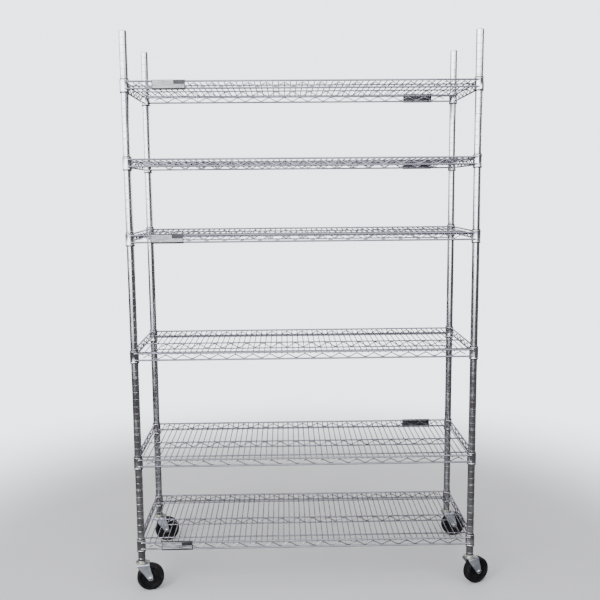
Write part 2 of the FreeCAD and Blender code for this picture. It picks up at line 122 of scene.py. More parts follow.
# ------------------------------------------------------------------ modelling with bmesh operators
def chain(points: Iterable[Vector], closed: bool) -> BMesh:
    """Join points into a line of edges.

    Args:
        points: the corners in order, in metres.
        closed: whether the last point joins the first.

    Returns:
        A mesh with the corners and edges only.
    """
    mesh = bmesh.new()
    corners = [mesh.verts.new(point) for point in points]
    followers = corners[1:] + corners[:1] if closed else corners[1:]
    for start, end in zip(corners, followers):
        mesh.edges.new((start, end))
    return mesh


def round_corners(mesh: BMesh, radius: float, segments: int) -> None:
    """Round the inner corners of a line of edges with short arcs.

    Args:
        mesh: the line, changed in place.
        radius: how far from the corner each arc starts, in millimetres.
        segments: edges in each arc.
    """
    corners = [vert for vert in mesh.verts if len(vert.link_edges) == 2]
    bmesh.ops.bevel(
        mesh, geom=corners, offset=radius * MM, offset_type="OFFSET", segments=segments,
        profile=0.5, affect="VERTICES", clamp_overlap=True, material=-1,
    )


def lathe(profile: Profile, steps: int, closed: bool = False, rounding: float = 0.0,
          angle: float = math.tau) -> BMesh:
    """Turn a (radius, height) profile about Z.

    Args:
        profile: outline points in millimetres.
        steps: segments round the turn.
        closed: whether the outline is a ring, as a tube wall's is, or runs from axis to axis.
        rounding: size of the arcs at the outline's corners, in millimetres.
        angle: how far to turn; less than a full turn leaves the two ends open.

    Returns:
        The turned mesh.
    """
    mesh = chain([Vector((r * MM, 0, z * MM)) for r, z in profile], closed)
    if rounding:
        round_corners(mesh, rounding, 2)
    full = math.isclose(angle, math.tau)
    geometry = list(mesh.verts) + list(mesh.edges)
    bmesh.ops.spin(
        mesh, geom=geometry, cent=(0, 0, 0), axis=(0, 0, 1), dvec=(0, 0, 0), angle=angle,
        steps=steps, use_merge=full, use_duplicate=False,
    )
    tidy(mesh)
    return mesh


def tidy(mesh: BMesh) -> None:
    """Merge doubles, then turn every face outwards."""
    bmesh.ops.remove_doubles(mesh, verts=list(mesh.verts), dist=WELD_DISTANCE)
    bmesh.ops.recalc_face_normals(mesh, faces=list(mesh.faces))


def sharp_edges(mesh: BMesh, angle: float = SHARP_ANGLE) -> list[BMEdge]:
    """The edges whose two faces meet at more than an angle."""
    return [e for e in mesh.edges if len(e.link_faces) == 2 and e.calc_face_angle(0) > angle]


def bevel_edges(mesh: BMesh, edges: list[BMEdge], width: float, segments: int) -> None:
    """Bevel chosen edges.

    Args:
        mesh: the mesh, changed in place.
        edges: the edges to bevel.
        width: bevel width in millimetres.
        segments: strips across each bevel.
    """
    bmesh.ops.bevel(
        mesh, geom=edges, offset=width * MM, offset_type="OFFSET", segments=segments,
        profile=0.5, affect="EDGES", clamp_overlap=True, material=-1,
    )


def soften(mesh: BMesh, width: float, segments: int = 2, angle: float = SHARP_ANGLE) -> None:
    """Bevel every edge sharper than an angle, by a width in millimetres."""
    bevel_edges(mesh, sharp_edges(mesh, angle), width, segments)


def close_holes(mesh: BMesh) -> list[BMFace]:
    """Fill every open ring of edges, and return the new faces."""
    rims = [edge for edge in mesh.edges if edge.is_boundary]
    return bmesh.ops.holes_fill(mesh, edges=rims, sides=0)["faces"]


def pull(mesh: BMesh, edges: list[BMEdge], step: Vector) -> list[BMEdge]:
    """Pull edges out into faces.

    Args:
        mesh: the mesh, changed in place.
        edges: the edges to pull.
        step: how far, in millimetres.

    Returns:
        The open edges of the new faces.
    """
    made = bmesh.ops.extrude_edge_only(mesh, edges=edges)["geom"]
    bmesh.ops.translate(mesh, verts=[g for g in made if isinstance(g, BMVert)], vec=step * MM)
    return [g for g in made if isinstance(g, BMEdge) and g.is_boundary]


def thicken(mesh: BMesh, outwards: Vector, sheet: float) -> None:
    """Give an open sheet its thickness, inwards from its outer face.

    Args:
        mesh: the sheet, changed in place.
        outwards: the way that its outermost face looks.
        sheet: thickness in millimetres.
    """
    tidy(mesh)
    outermost = max(mesh.faces, key=lambda face: face.calc_center_median().dot(outwards))
    if outermost.normal.dot(outwards) < 0:
        bmesh.ops.reverse_faces(mesh, faces=list(mesh.faces))
    bmesh.ops.solidify(mesh, geom=list(mesh.faces), thickness=sheet * MM)
    tidy(mesh)


def rod(radius: float, length: float, sides: int, end_round: float) -> BMesh:
    """A round wire along X, centred on the origin.

    Args:
        radius: the wire's radius in millimetres.
        length: its length in millimetres.
        sides: flats round it.
        end_round: bevel width at its two ends, in millimetres.

    Returns:
        The closed wire.
    """
    mesh = bmesh.new()
    bmesh.ops.create_cone(
        mesh, cap_ends=True, cap_tris=False, segments=sides, radius1=radius * MM,
        radius2=radius * MM, depth=length * MM, matrix=ONTO_X,
    )
    soften(mesh, end_round, 2, SQUARE_ANGLE)
    return mesh


def nugget(length: float, width: float, height: float) -> BMesh:
    """A small squeezed lump of weld metal, centred on the origin.

    Args:
        length: half its length along X, in millimetres.
        width: half its width along Y, in millimetres.
        height: half its height, in millimetres.

    Returns:
        The closed lump.
    """
    mesh = bmesh.new()
    size = Matrix.Diagonal((length * MM, width * MM, height * MM, 1))
    bmesh.ops.create_uvsphere(mesh, u_segments=8, v_segments=5, radius=1, matrix=size)
    return mesh


def stamp(target: BMesh, template: BMesh, places: Iterable[Matrix]) -> None:
    """Add a copy of a template to a mesh at each place.

    Args:
        target: the mesh that grows.
        template: what is copied.
        places: one matrix for each copy.
    """
    pattern = bpy.data.meshes.new("pattern")
    template.to_mesh(pattern)
    for place in places:
        pattern.transform(place)
        target.from_mesh(pattern)
        pattern.transform(place.inverted())
    bpy.data.meshes.remove(pattern)


def copies(template: BMesh, places: Iterable[Matrix]) -> BMesh:
    """Start a mesh from copies of a template.

    Args:
        template: what is copied.
        places: one matrix for each copy.

    Returns:
        The new mesh.
    """
    mesh = bmesh.new()
    stamp(mesh, template, places)
    return mesh


def release(*shapes: BMesh) -> None:
    """Free shapes that have been copied."""
    for shape in shapes:
        shape.free()


def shift(x: float, y: float, z: float) -> Matrix:
    """A move in millimetres."""
    return Matrix.Translation(Vector((x, y, z)) * MM)


def add_piece(name: str, mesh: BMesh, finish: "Finish", body: str,
              replaces: Sequence[str] = ()) -> None:
    """Turn a bmesh into a finished piece that rides on a body.

    Args:
        name: the piece's name.
        mesh: its shape, in place; freed here.
        finish: what it is made of.
        body: the body that carries it.
        replaces: the nodes that it stands for.
    """
    bmesh.ops.recalc_face_normals(mesh, faces=list(mesh.faces))
    for face in mesh.faces:
        face.smooth = True
    for edge in sharp_edges(mesh):
        edge.smooth = False
    data = bpy.data.meshes.new(name)
    mesh.to_mesh(data)
    mesh.free()
    data.materials.append(finish.material())
    piece = bpy.data.objects.new(name, data)
    bpy.context.scene.collection.objects.link(piece)
    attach(piece, body)
    if replaces:
        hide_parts(*replaces)
    triangles = sum(len(polygon.vertices) - 2 for polygon in data.polygons)
    log.info("%s: %d triangles on %s", name, triangles, body)


def dress_node(node: str, finish: "Finish") -> None:
    """Give a CAD node that stays on show its finish.

    Args:
        node: the node's name.
        finish: what it is made of.
    """
    for slot in frame["nodes"][node].material_slots:
        slot.material = finish.material()
    log.info("%s: kept, in %s", node, finish.name)


# ------------------------------------------------------------------ finishes
class Desk:
    """A node tree being wired up."""

    def __init__(self, tree: bpy.types.NodeTree) -> None:
        """Start on a tree."""
        self.tree = tree

    def feed(self, socket: Socket, value: object) -> None:
        """Link an output to a socket, or set the socket's value.

        Args:
            socket: the socket that is fed.
            value: an output, or a plain value.
        """
        if isinstance(value, Socket):
            self.tree.links.new(value, socket)
        else:
            socket.default_value = value

    def add(self, kind: str, inputs: dict[str | int, object] | None = None,
            **settings: object) -> bpy.types.Node:
        """Place a node.

        Args:
            kind: the node's type.
            inputs: a value for each input, or the output that feeds it.
            settings: the node's own properties.

        Returns:
            The node.
        """
        node = self.tree.nodes.new(kind)
        for key, value in settings.items():
            setattr(node, key, value)
        for key, value in (inputs or {}).items():
            self.feed(node.inputs[key], value)
        return node

    def math(self, operation: str, *values: object) -> Socket:
        """A sum or other operation on values."""
        return self.add("ShaderNodeMath", dict(enumerate(values)), operation=operation).outputs[0]

    def product(self, *values: object) -> Socket:
        """The product of two or more values."""
        return functools.reduce(functools.partial(self.math, "MULTIPLY"), values)

    def ramp(self, value: object, low: float, high: float, start: float = 0.0,
             end: float = 1.0) -> Socket:
        """Map a value smoothly from one range to another.

        Args:
            value: the value to map.
            low: where its range starts.
            high: where its range ends.
            start: the result at and below low.
            end: the result at and above high.

        Returns:
            The mapped value.
        """
        inputs = {"Value": value, "From Min": low, "From Max": high, "To Min": start, "To Max": end}
        node = self.add("ShaderNodeMapRange", inputs, interpolation_type="SMOOTHSTEP")
        return node.outputs["Result"]

    def mix(self, factor: object, first: object, second: object) -> Socket:
        """Blend two colours.

        Args:
            factor: the share of the second colour.
            first: the colour at 0.
            second: the colour at 1.

        Returns:
            The blend.
        """
        node = self.add("ShaderNodeMix", data_type="RGBA")
        self.feed(node.inputs["Factor"], factor)
        self.feed(node.inputs[6], first)
        self.feed(node.inputs[7], second)
        return node.outputs[2]

    def noise(self, position: object, scale: object, detail: float = 3.0) -> Socket:
        """A cloudy value from 0 to 1."""
        inputs = {"Vector": position, "Scale": scale, "Detail": detail}
        return self.add("ShaderNodeTexNoise", inputs).outputs["Fac"]

    def upward(self, vector: object) -> Socket:
        """The Z part of a vector."""
        return self.add("ShaderNodeSeparateXYZ", {0: vector}).outputs["Z"]


def rgba(colour: Colour) -> tuple[float, float, float, float]:
    """A colour with full alpha."""
    return (*colour, 1.0)


def new_group(name: str, inputs: Sequence[str],
              outputs: Sequence[str]) -> tuple[Desk, dict[str, Socket], dict[str, Socket]]:
    """Start a shader node group that reads a position and plain numbers.

    Args:
        name: the group's name.
        inputs: the names of its numbers.
        outputs: the names of the values that it puts out.

    Returns:
        The group's desk, what it is given and what it has to feed, by name.
    """
    tree = bpy.data.node_groups.new(name, "ShaderNodeTree")
    tree.interface.new_socket("Position", in_out="INPUT", socket_type="NodeSocketVector")
    for label in inputs:
        tree.interface.new_socket(label, in_out="INPUT", socket_type="NodeSocketFloat")
    for label in outputs:
        tree.interface.new_socket(label, in_out="OUTPUT", socket_type="NodeSocketFloat")
    desk = Desk(tree)
    given = desk.add("NodeGroupInput").outputs
    wanted = desk.add("NodeGroupOutput").inputs
    return (
        desk,
        {label: given[label] for label in ("Position", *inputs)},
        {label: wanted[label] for label in outputs},
    )


@functools.cache
def grain_group() -> bpy.types.NodeTree:
    """Fine unevenness of a surface.

    Returns:
        A group that puts out a height for bumps and a slow wander for roughness.
    """
    desk, given, wanted = new_group("surface_grain", ("Fine", "Broad"), ("Height", "Wander"))
    fine = desk.noise(given["Position"], given["Fine"])
    broad = desk.noise(given["Position"], given["Broad"], detail=4.0)
    desk.feed(wanted["Height"], desk.math("ADD", fine, desk.product(broad, 0.5)))
    desk.feed(wanted["Wander"], desk.ramp(broad, low=0.35, high=0.68))
    return desk.tree


@functools.cache
def dust_group() -> bpy.types.NodeTree:
    """Settled dust and splashes, on faces that look up, and thicker near the floor.

    Returns:
        A group that puts out the mask of the dust.
    """
    desk, given, wanted = new_group("settled_dust", ("Scale", "Amount"), ("Mask",))
    position = given["Position"]
    low = desk.ramp(desk.upward(position), low=0.0, high=0.55, start=1.0, end=0.15)
    normal = desk.add("ShaderNodeNewGeometry").outputs["Normal"]
    upward = desk.ramp(desk.upward(normal), low=0.2, high=1.0, start=0.35, end=1.0)
    patches = desk.ramp(desk.noise(position, given["Scale"], detail=6.0), low=0.42, high=0.72)
    specks = desk.noise(position, 900.0, detail=1.0)
    specks = desk.ramp(specks, low=0.62, high=0.72, start=0.0, end=0.5)
    spread = desk.product(desk.math("MAXIMUM", patches, specks), desk.product(low, upward))
    inputs = {0: spread, 1: given["Amount"]}
    mask = desk.add("ShaderNodeMath", inputs, operation="MULTIPLY", use_clamp=True)
    desk.feed(wanted["Mask"], mask.outputs[0])
    return desk.tree


@functools.cache
def wear_group() -> bpy.types.NodeTree:
    """Rubbed edges, broken up by noise.

    Returns:
        A group that puts out the mask of the wear.
    """
    desk, given, wanted = new_group("rubbed_edges", ("Scale", "Amount"), ("Mask",))
    pointiness = desk.add("ShaderNodeNewGeometry").outputs["Pointiness"]
    edge = desk.ramp(pointiness, low=0.51, high=0.6)
    breaks = desk.noise(given["Position"], given["Scale"], detail=5.0)
    breaks = desk.ramp(breaks, low=0.35, high=0.65)
    desk.feed(wanted["Mask"], desk.product(edge, breaks, given["Amount"]))
    return desk.tree


@dataclass(frozen=True)
class Finish:
    """A surface finish, made of one base colour with grain, dust and rubbed edges.

    The grain and dust sizes are noise scales, in waves per metre.
    """

    name: str
    colour: Colour
    metal: float = 0.0
    roughness: float = 0.4
    wander: float = 0.10
    fine: float = 1200.0
    broad: float = 60.0
    bump: float = 0.05
    tone: float = 0.2
    dust: float = 0.2
    dust_scale: float = 30.0
    dust_colour: Colour = (0.36, 0.32, 0.27)
    dust_dulling: float = 0.5
    wear: float = 0.0
    wear_colour: Colour = (0.6, 0.6, 0.6)
    specular: float = 0.5
    stretch: tuple[float, float, float] = (1.0, 1.0, 1.0)

    @functools.cache
    def material(self) -> bpy.types.Material:
        """Build the finish's shader once.

        Returns:
            The material, shared by every piece in this finish.
        """
        material = bpy.data.materials.new(self.name)
        material.use_nodes = True
        desk = Desk(material.node_tree)
        sockets = material.node_tree.nodes["Principled BSDF"].inputs
        place = desk.add("ShaderNodeTexCoord").outputs["Object"]
        inputs = {0: place, 1: self.stretch}
        position = desk.add("ShaderNodeVectorMath", inputs, operation="MULTIPLY").outputs[0]
        inputs = {"Position": position, "Fine": self.fine, "Broad": self.broad}
        grain = self.effect(desk, grain_group(), inputs)
        inputs = {"Position": place, "Scale": self.dust_scale, "Amount": self.dust}
        dusty = self.effect(desk, dust_group(), inputs)["Mask"]
        wander = grain["Wander"]
        shaded = tuple(channel * (1 - self.tone) for channel in self.colour)
        surface = desk.mix(wander, rgba(shaded), rgba(self.colour))
        if self.wear:
            inputs = {"Position": place, "Scale": self.dust_scale * 4, "Amount": self.wear}
            rubbed = self.effect(desk, wear_group(), inputs)["Mask"]
            surface = desk.mix(rubbed, surface, rgba(self.wear_colour))
        desk.feed(sockets["Base Color"], desk.mix(dusty, surface, rgba(self.dust_colour)))
        if self.metal:
            clear = desk.math("SUBTRACT", 1.0, dusty)
            desk.feed(sockets["Metallic"], desk.product(clear, self.metal))
        smoothest = self.roughness - self.wander / 2
        polish = desk.ramp(wander, 0.0, 1.0, smoothest, smoothest + self.wander)
        dulled = desk.math("ADD", polish, desk.product(dusty, self.dust_dulling))
        desk.feed(sockets["Roughness"], dulled)
        sockets["Specular IOR Level"].default_value = self.specular
        inputs = {"Strength": self.bump, "Distance": MM, "Height": grain["Height"]}
        desk.feed(sockets["Normal"], desk.add("ShaderNodeBump", inputs).outputs["Normal"])
        return material

    @staticmethod
    def effect(desk: Desk, group: bpy.types.NodeTree,
               inputs: dict[str, object]) -> bpy.types.NodeOutputs:
        """Place a shared group in a material with its own values.

        Args:
            desk: the material's desk.
            group: the shared group.
            inputs: a value for each input, or the output that feeds it.

        Returns:
            What the group puts out.
        """
        node = desk.add("ShaderNodeGroup", node_tree=group)
        for label, value in inputs.items():
            desk.feed(node.inputs[label], value)
        return node.outputs


CHROME_TUBE = Finish(
    "chrome_tube_finish", (0.78, 0.78, 0.80), metal=1.0, roughness=0.14, wander=0.08, fine=700,
    broad=14, bump=0.006, tone=0.10, dust=0.35,
)
# The wire chrome's base colour is painted much darker than the tube chrome's. This is painted
# shade, standing in for the dim surroundings that the thin wires reflect.
CHROME_WIRE_PAINTED_SHADE = Finish(
    "chrome_wire_painted_shade_finish", (0.36, 0.345, 0.40), metal=1.0, roughness=0.16, wander=0.08, fine=1100,
    broad=30, bump=0.02, tone=0.15, dust=0.45,
)
CHROME_COLLAR = Finish(
    "chrome_collar_finish", (0.76, 0.76, 0.78), metal=1.0, roughness=0.13, wander=0.08, fine=800,
    broad=30, bump=0.008, tone=0.10, dust=0.30,
)
WELD_BEAD = Finish(
    "weld_bead_finish", (0.40, 0.39, 0.42), metal=1.0, roughness=0.26, fine=1500, bump=0.08,
    dust=0.45,
)
CAP_PLASTIC = Finish(
    "cap_plastic_finish", (0.62, 0.63, 0.64), roughness=0.42, tone=0.06, dust=0.3,
)
SLEEVE_PLASTIC = Finish(
    "sleeve_plastic_finish", (0.014, 0.014, 0.016), roughness=0.38, broad=80,
)
SOCKET_PLASTIC = Finish(
    "socket_plastic_finish", (0.03, 0.03, 0.032), roughness=0.45, broad=80,
)
ZINC_PLATE = Finish(
    "zinc_plate_finish", (0.58, 0.63, 0.69), metal=0.88, roughness=0.38, wander=0.14, fine=1400,
    broad=45, tone=0.12, dust=0.25, wear=0.5, wear_colour=(0.80, 0.81, 0.83),
)
ZINC_YELLOW = Finish(
    "zinc_yellow_finish", (0.64, 0.65, 0.56), metal=1.0, roughness=0.30, wander=0.14, fine=1400,
    tone=0.25, dust=0.4, wear=0.5, wear_colour=(0.70, 0.70, 0.68),
)
ZINC_BOLT = Finish(
    "zinc_bolt_finish", (0.76, 0.77, 0.78), metal=1.0, roughness=0.20, fine=1600, broad=90,
    bump=0.03, tone=0.12, dust=0.3,
)
BALL_STEEL = Finish(
    "ball_steel_finish", (0.56, 0.56, 0.57), metal=1.0, roughness=0.10, wander=0.04, fine=900,
    bump=0.01, tone=0.08,
)
WHEEL_PLASTIC = Finish(
    "wheel_plastic_finish", (0.005, 0.005, 0.006), roughness=0.50, wander=0.14, fine=1300,
    broad=50, bump=0.08, tone=0.3, dust=0.05, wear=0.3, wear_colour=(0.03, 0.03, 0.03),
    specular=0.14,
)
TYRE_RUBBER = Finish(
    "tyre_rubber_finish", (0.006, 0.006, 0.007), roughness=0.62, wander=0.16, fine=1800,
    broad=40, bump=0.12, tone=0.3, dust=0.10, dust_scale=60.0, wear=0.5,
    wear_colour=(0.04, 0.038, 0.036), specular=0.14,
)
LABEL_SHEET = Finish(
    "label_sheet_finish", (0.014, 0.014, 0.015), roughness=0.34, fine=900, bump=0.03, dust=0.15,
)
LABEL_CARD = Finish(
    "label_card_finish", (0.52, 0.52, 0.54), metal=0.5, roughness=0.36, wander=0.20, fine=700,
    broad=330, bump=0.03, tone=0.62, dust=0.10, stretch=(0.12, 1.0, 1.0),
)
LABEL_PATCH = Finish(
    "label_patch_finish", (0.018, 0.018, 0.022), roughness=0.34, fine=900, bump=0.03, dust=0.05,
)


# ------------------------------------------------------------------ posts, caps and sleeves
@dataclass
class GroovedPosts:
    """The four tube posts, with a locking groove every inch and a doubled groove every eight.

    A groove's section is a cosine to the power `sharpness`.  It is drawn through `loops`, shares of
    its mouth, of which the outermost keep the shading of the plain wall flat.
    """

    radius: float = 12.7
    bore: float = 11.5
    chamfer: float = 0.3
    first_groove: float = 12.5
    pitch: float = 25.4
    grooves: int = 72
    double_start: int = 2
    double_every: int = 8
    double_gap: float = 4.5
    depth: float = 0.6
    mouth: float = 1.8
    sharpness: float = 1.5
    loops: tuple[float, ...] = (-0.62, -0.5, -0.3, -0.12, 0.12, 0.3, 0.5, 0.62)
    steps: int = 36

    def outline(self, bottom: float, top: float) -> list[tuple[float, float]]:
        """The closed outline of the grooved wall.

        Args:
            bottom: height of the tube's lower end.
            top: height of its upper end.

        Returns:
            (radius, height) points.
        """
        middles = []
        for number in range(self.grooves):
            height = bottom + self.first_groove + number * self.pitch
            middles.append(height)
            if number % self.double_every == self.double_start:
                middles.append(height + self.double_gap)
        shoulder = self.radius - self.chamfer
        points = [(self.bore, bottom), (shoulder, bottom), (self.radius, bottom + self.chamfer)]
        for middle in middles:
            for share in self.loops:
                dip = self.depth * max(math.cos(math.pi * share), 0) ** self.sharpness
                points.append((self.radius - dip, middle + share * self.mouth))
        points += [(self.radius, top - self.chamfer), (shoulder, top), (self.bore, top)]
        return points

    def build(self) -> None:
        """Make each post from one turned tube, in chrome."""
        low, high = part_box(Corner.FRONT_LEFT.value + "_post")
        tube = lathe(self.outline(low.z / MM, high.z / MM), self.steps, closed=True)
        for corner, place in zip(Corner, post_places()):
            name = corner.value + "_grooved_tube"
            node = corner.value + "_post"
            mesh = copies(tube, [place])
            add_piece(name, mesh, CHROME_TUBE, "post_frame", [node])
        release(tube)


@dataclass
class PostCaps:
    """Push-in caps that close the tops of the posts."""

    rim_radius: float = 12.2
    rim_width: float = 2.2
    slope: float = 1.0
    thickness: float = 2.0
    dish: float = 0.5
    skirt_radius: float = 11.4
    skirt_wall: float = 1.2
    skirt: float = 12.0
    edge: float = 0.35
    steps: int = 48

    def shape(self) -> BMesh:
        """One cap about Z, at its own height.

        Returns:
            The closed cap.
        """
        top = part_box("post_caps")[1].z / MM
        under = top - self.thickness
        inner = self.skirt_radius - self.skirt_wall
        dished = self.rim_radius - self.rim_width - self.slope
        return lathe([
            (0, top - self.dish),
            (dished, top - self.dish),
            (dished + self.slope, top),
            (self.rim_radius, top),
            (self.rim_radius, under),
            (self.skirt_radius, under),
            (self.skirt_radius, under - self.skirt),
            (inner, under - self.skirt),
            (inner, under),
            (0, under),
        ], self.steps, rounding=self.edge)

    def build(self) -> None:
        """Make the four caps as one piece, in pale plastic."""
        cap = self.shape()
        mesh = copies(cap, post_places())
        release(cap)
        name = "moulded_post_caps"
        add_piece(name, mesh, CAP_PLASTIC, "post_frame", ["post_caps"])


@dataclass
class SplitSleeves:
    """The tapered sleeves under the collars, each in two halves that lock into a groove."""

    collar_height: float = 41.0
    above: float = 3.2
    gap: float = 0.3
    inner: float = 12.75
    top_radius: float = 13.9
    foot_radius: float = 14.5
    lip_radius: float = 16.2
    lip_height: float = 2.4
    split: float = 0.8
    edge: float = 0.35
    steps: int = 18

    def half(self) -> BMesh:
        """One half sleeve about the origin, its collar's top at height zero.

        Returns:
            The closed half, on the side of +Y.
        """
        foot = -self.collar_height - self.gap
        profile = [
            (self.inner, self.above),
            (self.top_radius, self.above),
            (self.top_radius, 0),
            (self.foot_radius, foot),
            (self.lip_radius, foot),
            (self.lip_radius, foot - self.lip_height),
            (self.inner, foot - self.lip_height),
        ]
        opening = self.split / self.inner
        turn = math.pi - opening
        mesh = lathe(profile, self.steps, closed=True, rounding=self.edge, angle=turn)
        close_holes(mesh)
        ease = Matrix.Rotation(opening / 2, 3, "Z")
        bmesh.ops.rotate(mesh, verts=list(mesh.verts), matrix=ease)
        return mesh

    def build(self) -> None:
        """Make every sleeve as one piece, in black plastic."""
        half = self.half()
        turns = (QUARTER, QUARTER.inverted())
        mesh = bmesh.new()
        for shelf in SHELVES:
            lift = Matrix.Translation((0, 0, collar_top(shelf)))
            for post in post_places():
                stamp(mesh, half, [post @ lift @ turn for turn in turns])
        release(half)
        name = "moulded_split_sleeves"
        node = "split_post_sleeves"
        add_piece(name, mesh, SLEEVE_PLASTIC, "post_frame", [node])


# ------------------------------------------------------------------ wire shelves
@dataclass(frozen=True)
class Wave:
    """A snaking truss wire: arcs at the crests, straight slopes between them."""

    crests: int
    peak: float
    trough: float
    starts_high: bool
    period: float = 60.0
    bend: float = 14.0
    tail: float = 13.0
    radius: float = 1.75
    end_round: float = 0.5
    sides: int = 10
    bend_steps: int = 5

    def slope(self) -> float:
        """The angle of the straight stretches.

        Returns:
            The angle to the wave's length, in radians.
        """
        half = self.period / 2
        lift = 2 * self.bend - (self.peak - self.trough)
        return math.asin(2 * self.bend / math.hypot(half, lift)) - math.atan2(lift, half)

    def build(self) -> BMesh:
        """Sweep a ring along the wave, in the XZ plane and centred on X = 0.

        Returns:
            The wire's mesh.
        """
        slope = self.slope()
        straight = (self.period / 2 - 2 * self.bend * math.sin(slope)) / math.cos(slope)
        rise = 1 if self.starts_high else -1
        start = self.peak if rise > 0 else self.trough
        first = Vector((-(self.crests - 1) * self.period / 4, 0, start))
        drop = rise * self.bend * (1 - math.cos(slope))
        into = first - Vector((self.bend * math.sin(slope), 0, drop))
        heading = Vector((math.cos(slope), 0, rise * math.sin(slope)))
        point = into - heading * self.tail
        facing = heading.to_track_quat("Z", "Y").to_matrix().to_4x4()
        mesh = bmesh.new()
        bmesh.ops.create_circle(
            mesh, cap_ends=False, segments=self.sides, radius=self.radius * MM,
            matrix=Matrix.Translation(point * MM) @ facing,
        )
        ring = list(mesh.edges)
        run = self.tail
        for _ in range(self.crests):
            ring = pull(mesh, ring, heading * run)
            point = point + heading * run
            centre = point + Vector((heading.z, 0, -heading.x)) * (rise * self.bend)
            turn = rise * 2 * slope
            ring = self.turn(mesh, ring, centre, turn)
            spin = Matrix.Rotation(turn, 3, "Y")
            point = centre + spin @ (point - centre)
            heading = spin @ heading
            rise = -rise
            run = straight
        pull(mesh, ring, heading * self.tail)
        close_holes(mesh)
        tidy(mesh)
        soften(mesh, self.end_round, 1, SQUARE_ANGLE)
        return mesh

    def turn(self, mesh: BMesh, ring: list[BMEdge], centre: Vector, angle: float) -> list[BMEdge]:
        """Carry the open end round a bend.

        Args:
            mesh: the wire, changed in place.
            ring: the open end's edges.
            centre: the middle of the bend, in millimetres.
            angle: how far to turn.

        Returns:
            The new open end's edges.
        """
        made = bmesh.ops.spin(
            mesh, geom=ring, cent=centre * MM, axis=(0, 1, 0), dvec=(0, 0, 0), angle=angle,
            steps=self.bend_steps, use_merge=False, use_duplicate=False,
        )["geom_last"]
        return [g for g in made if isinstance(g, BMEdge)]


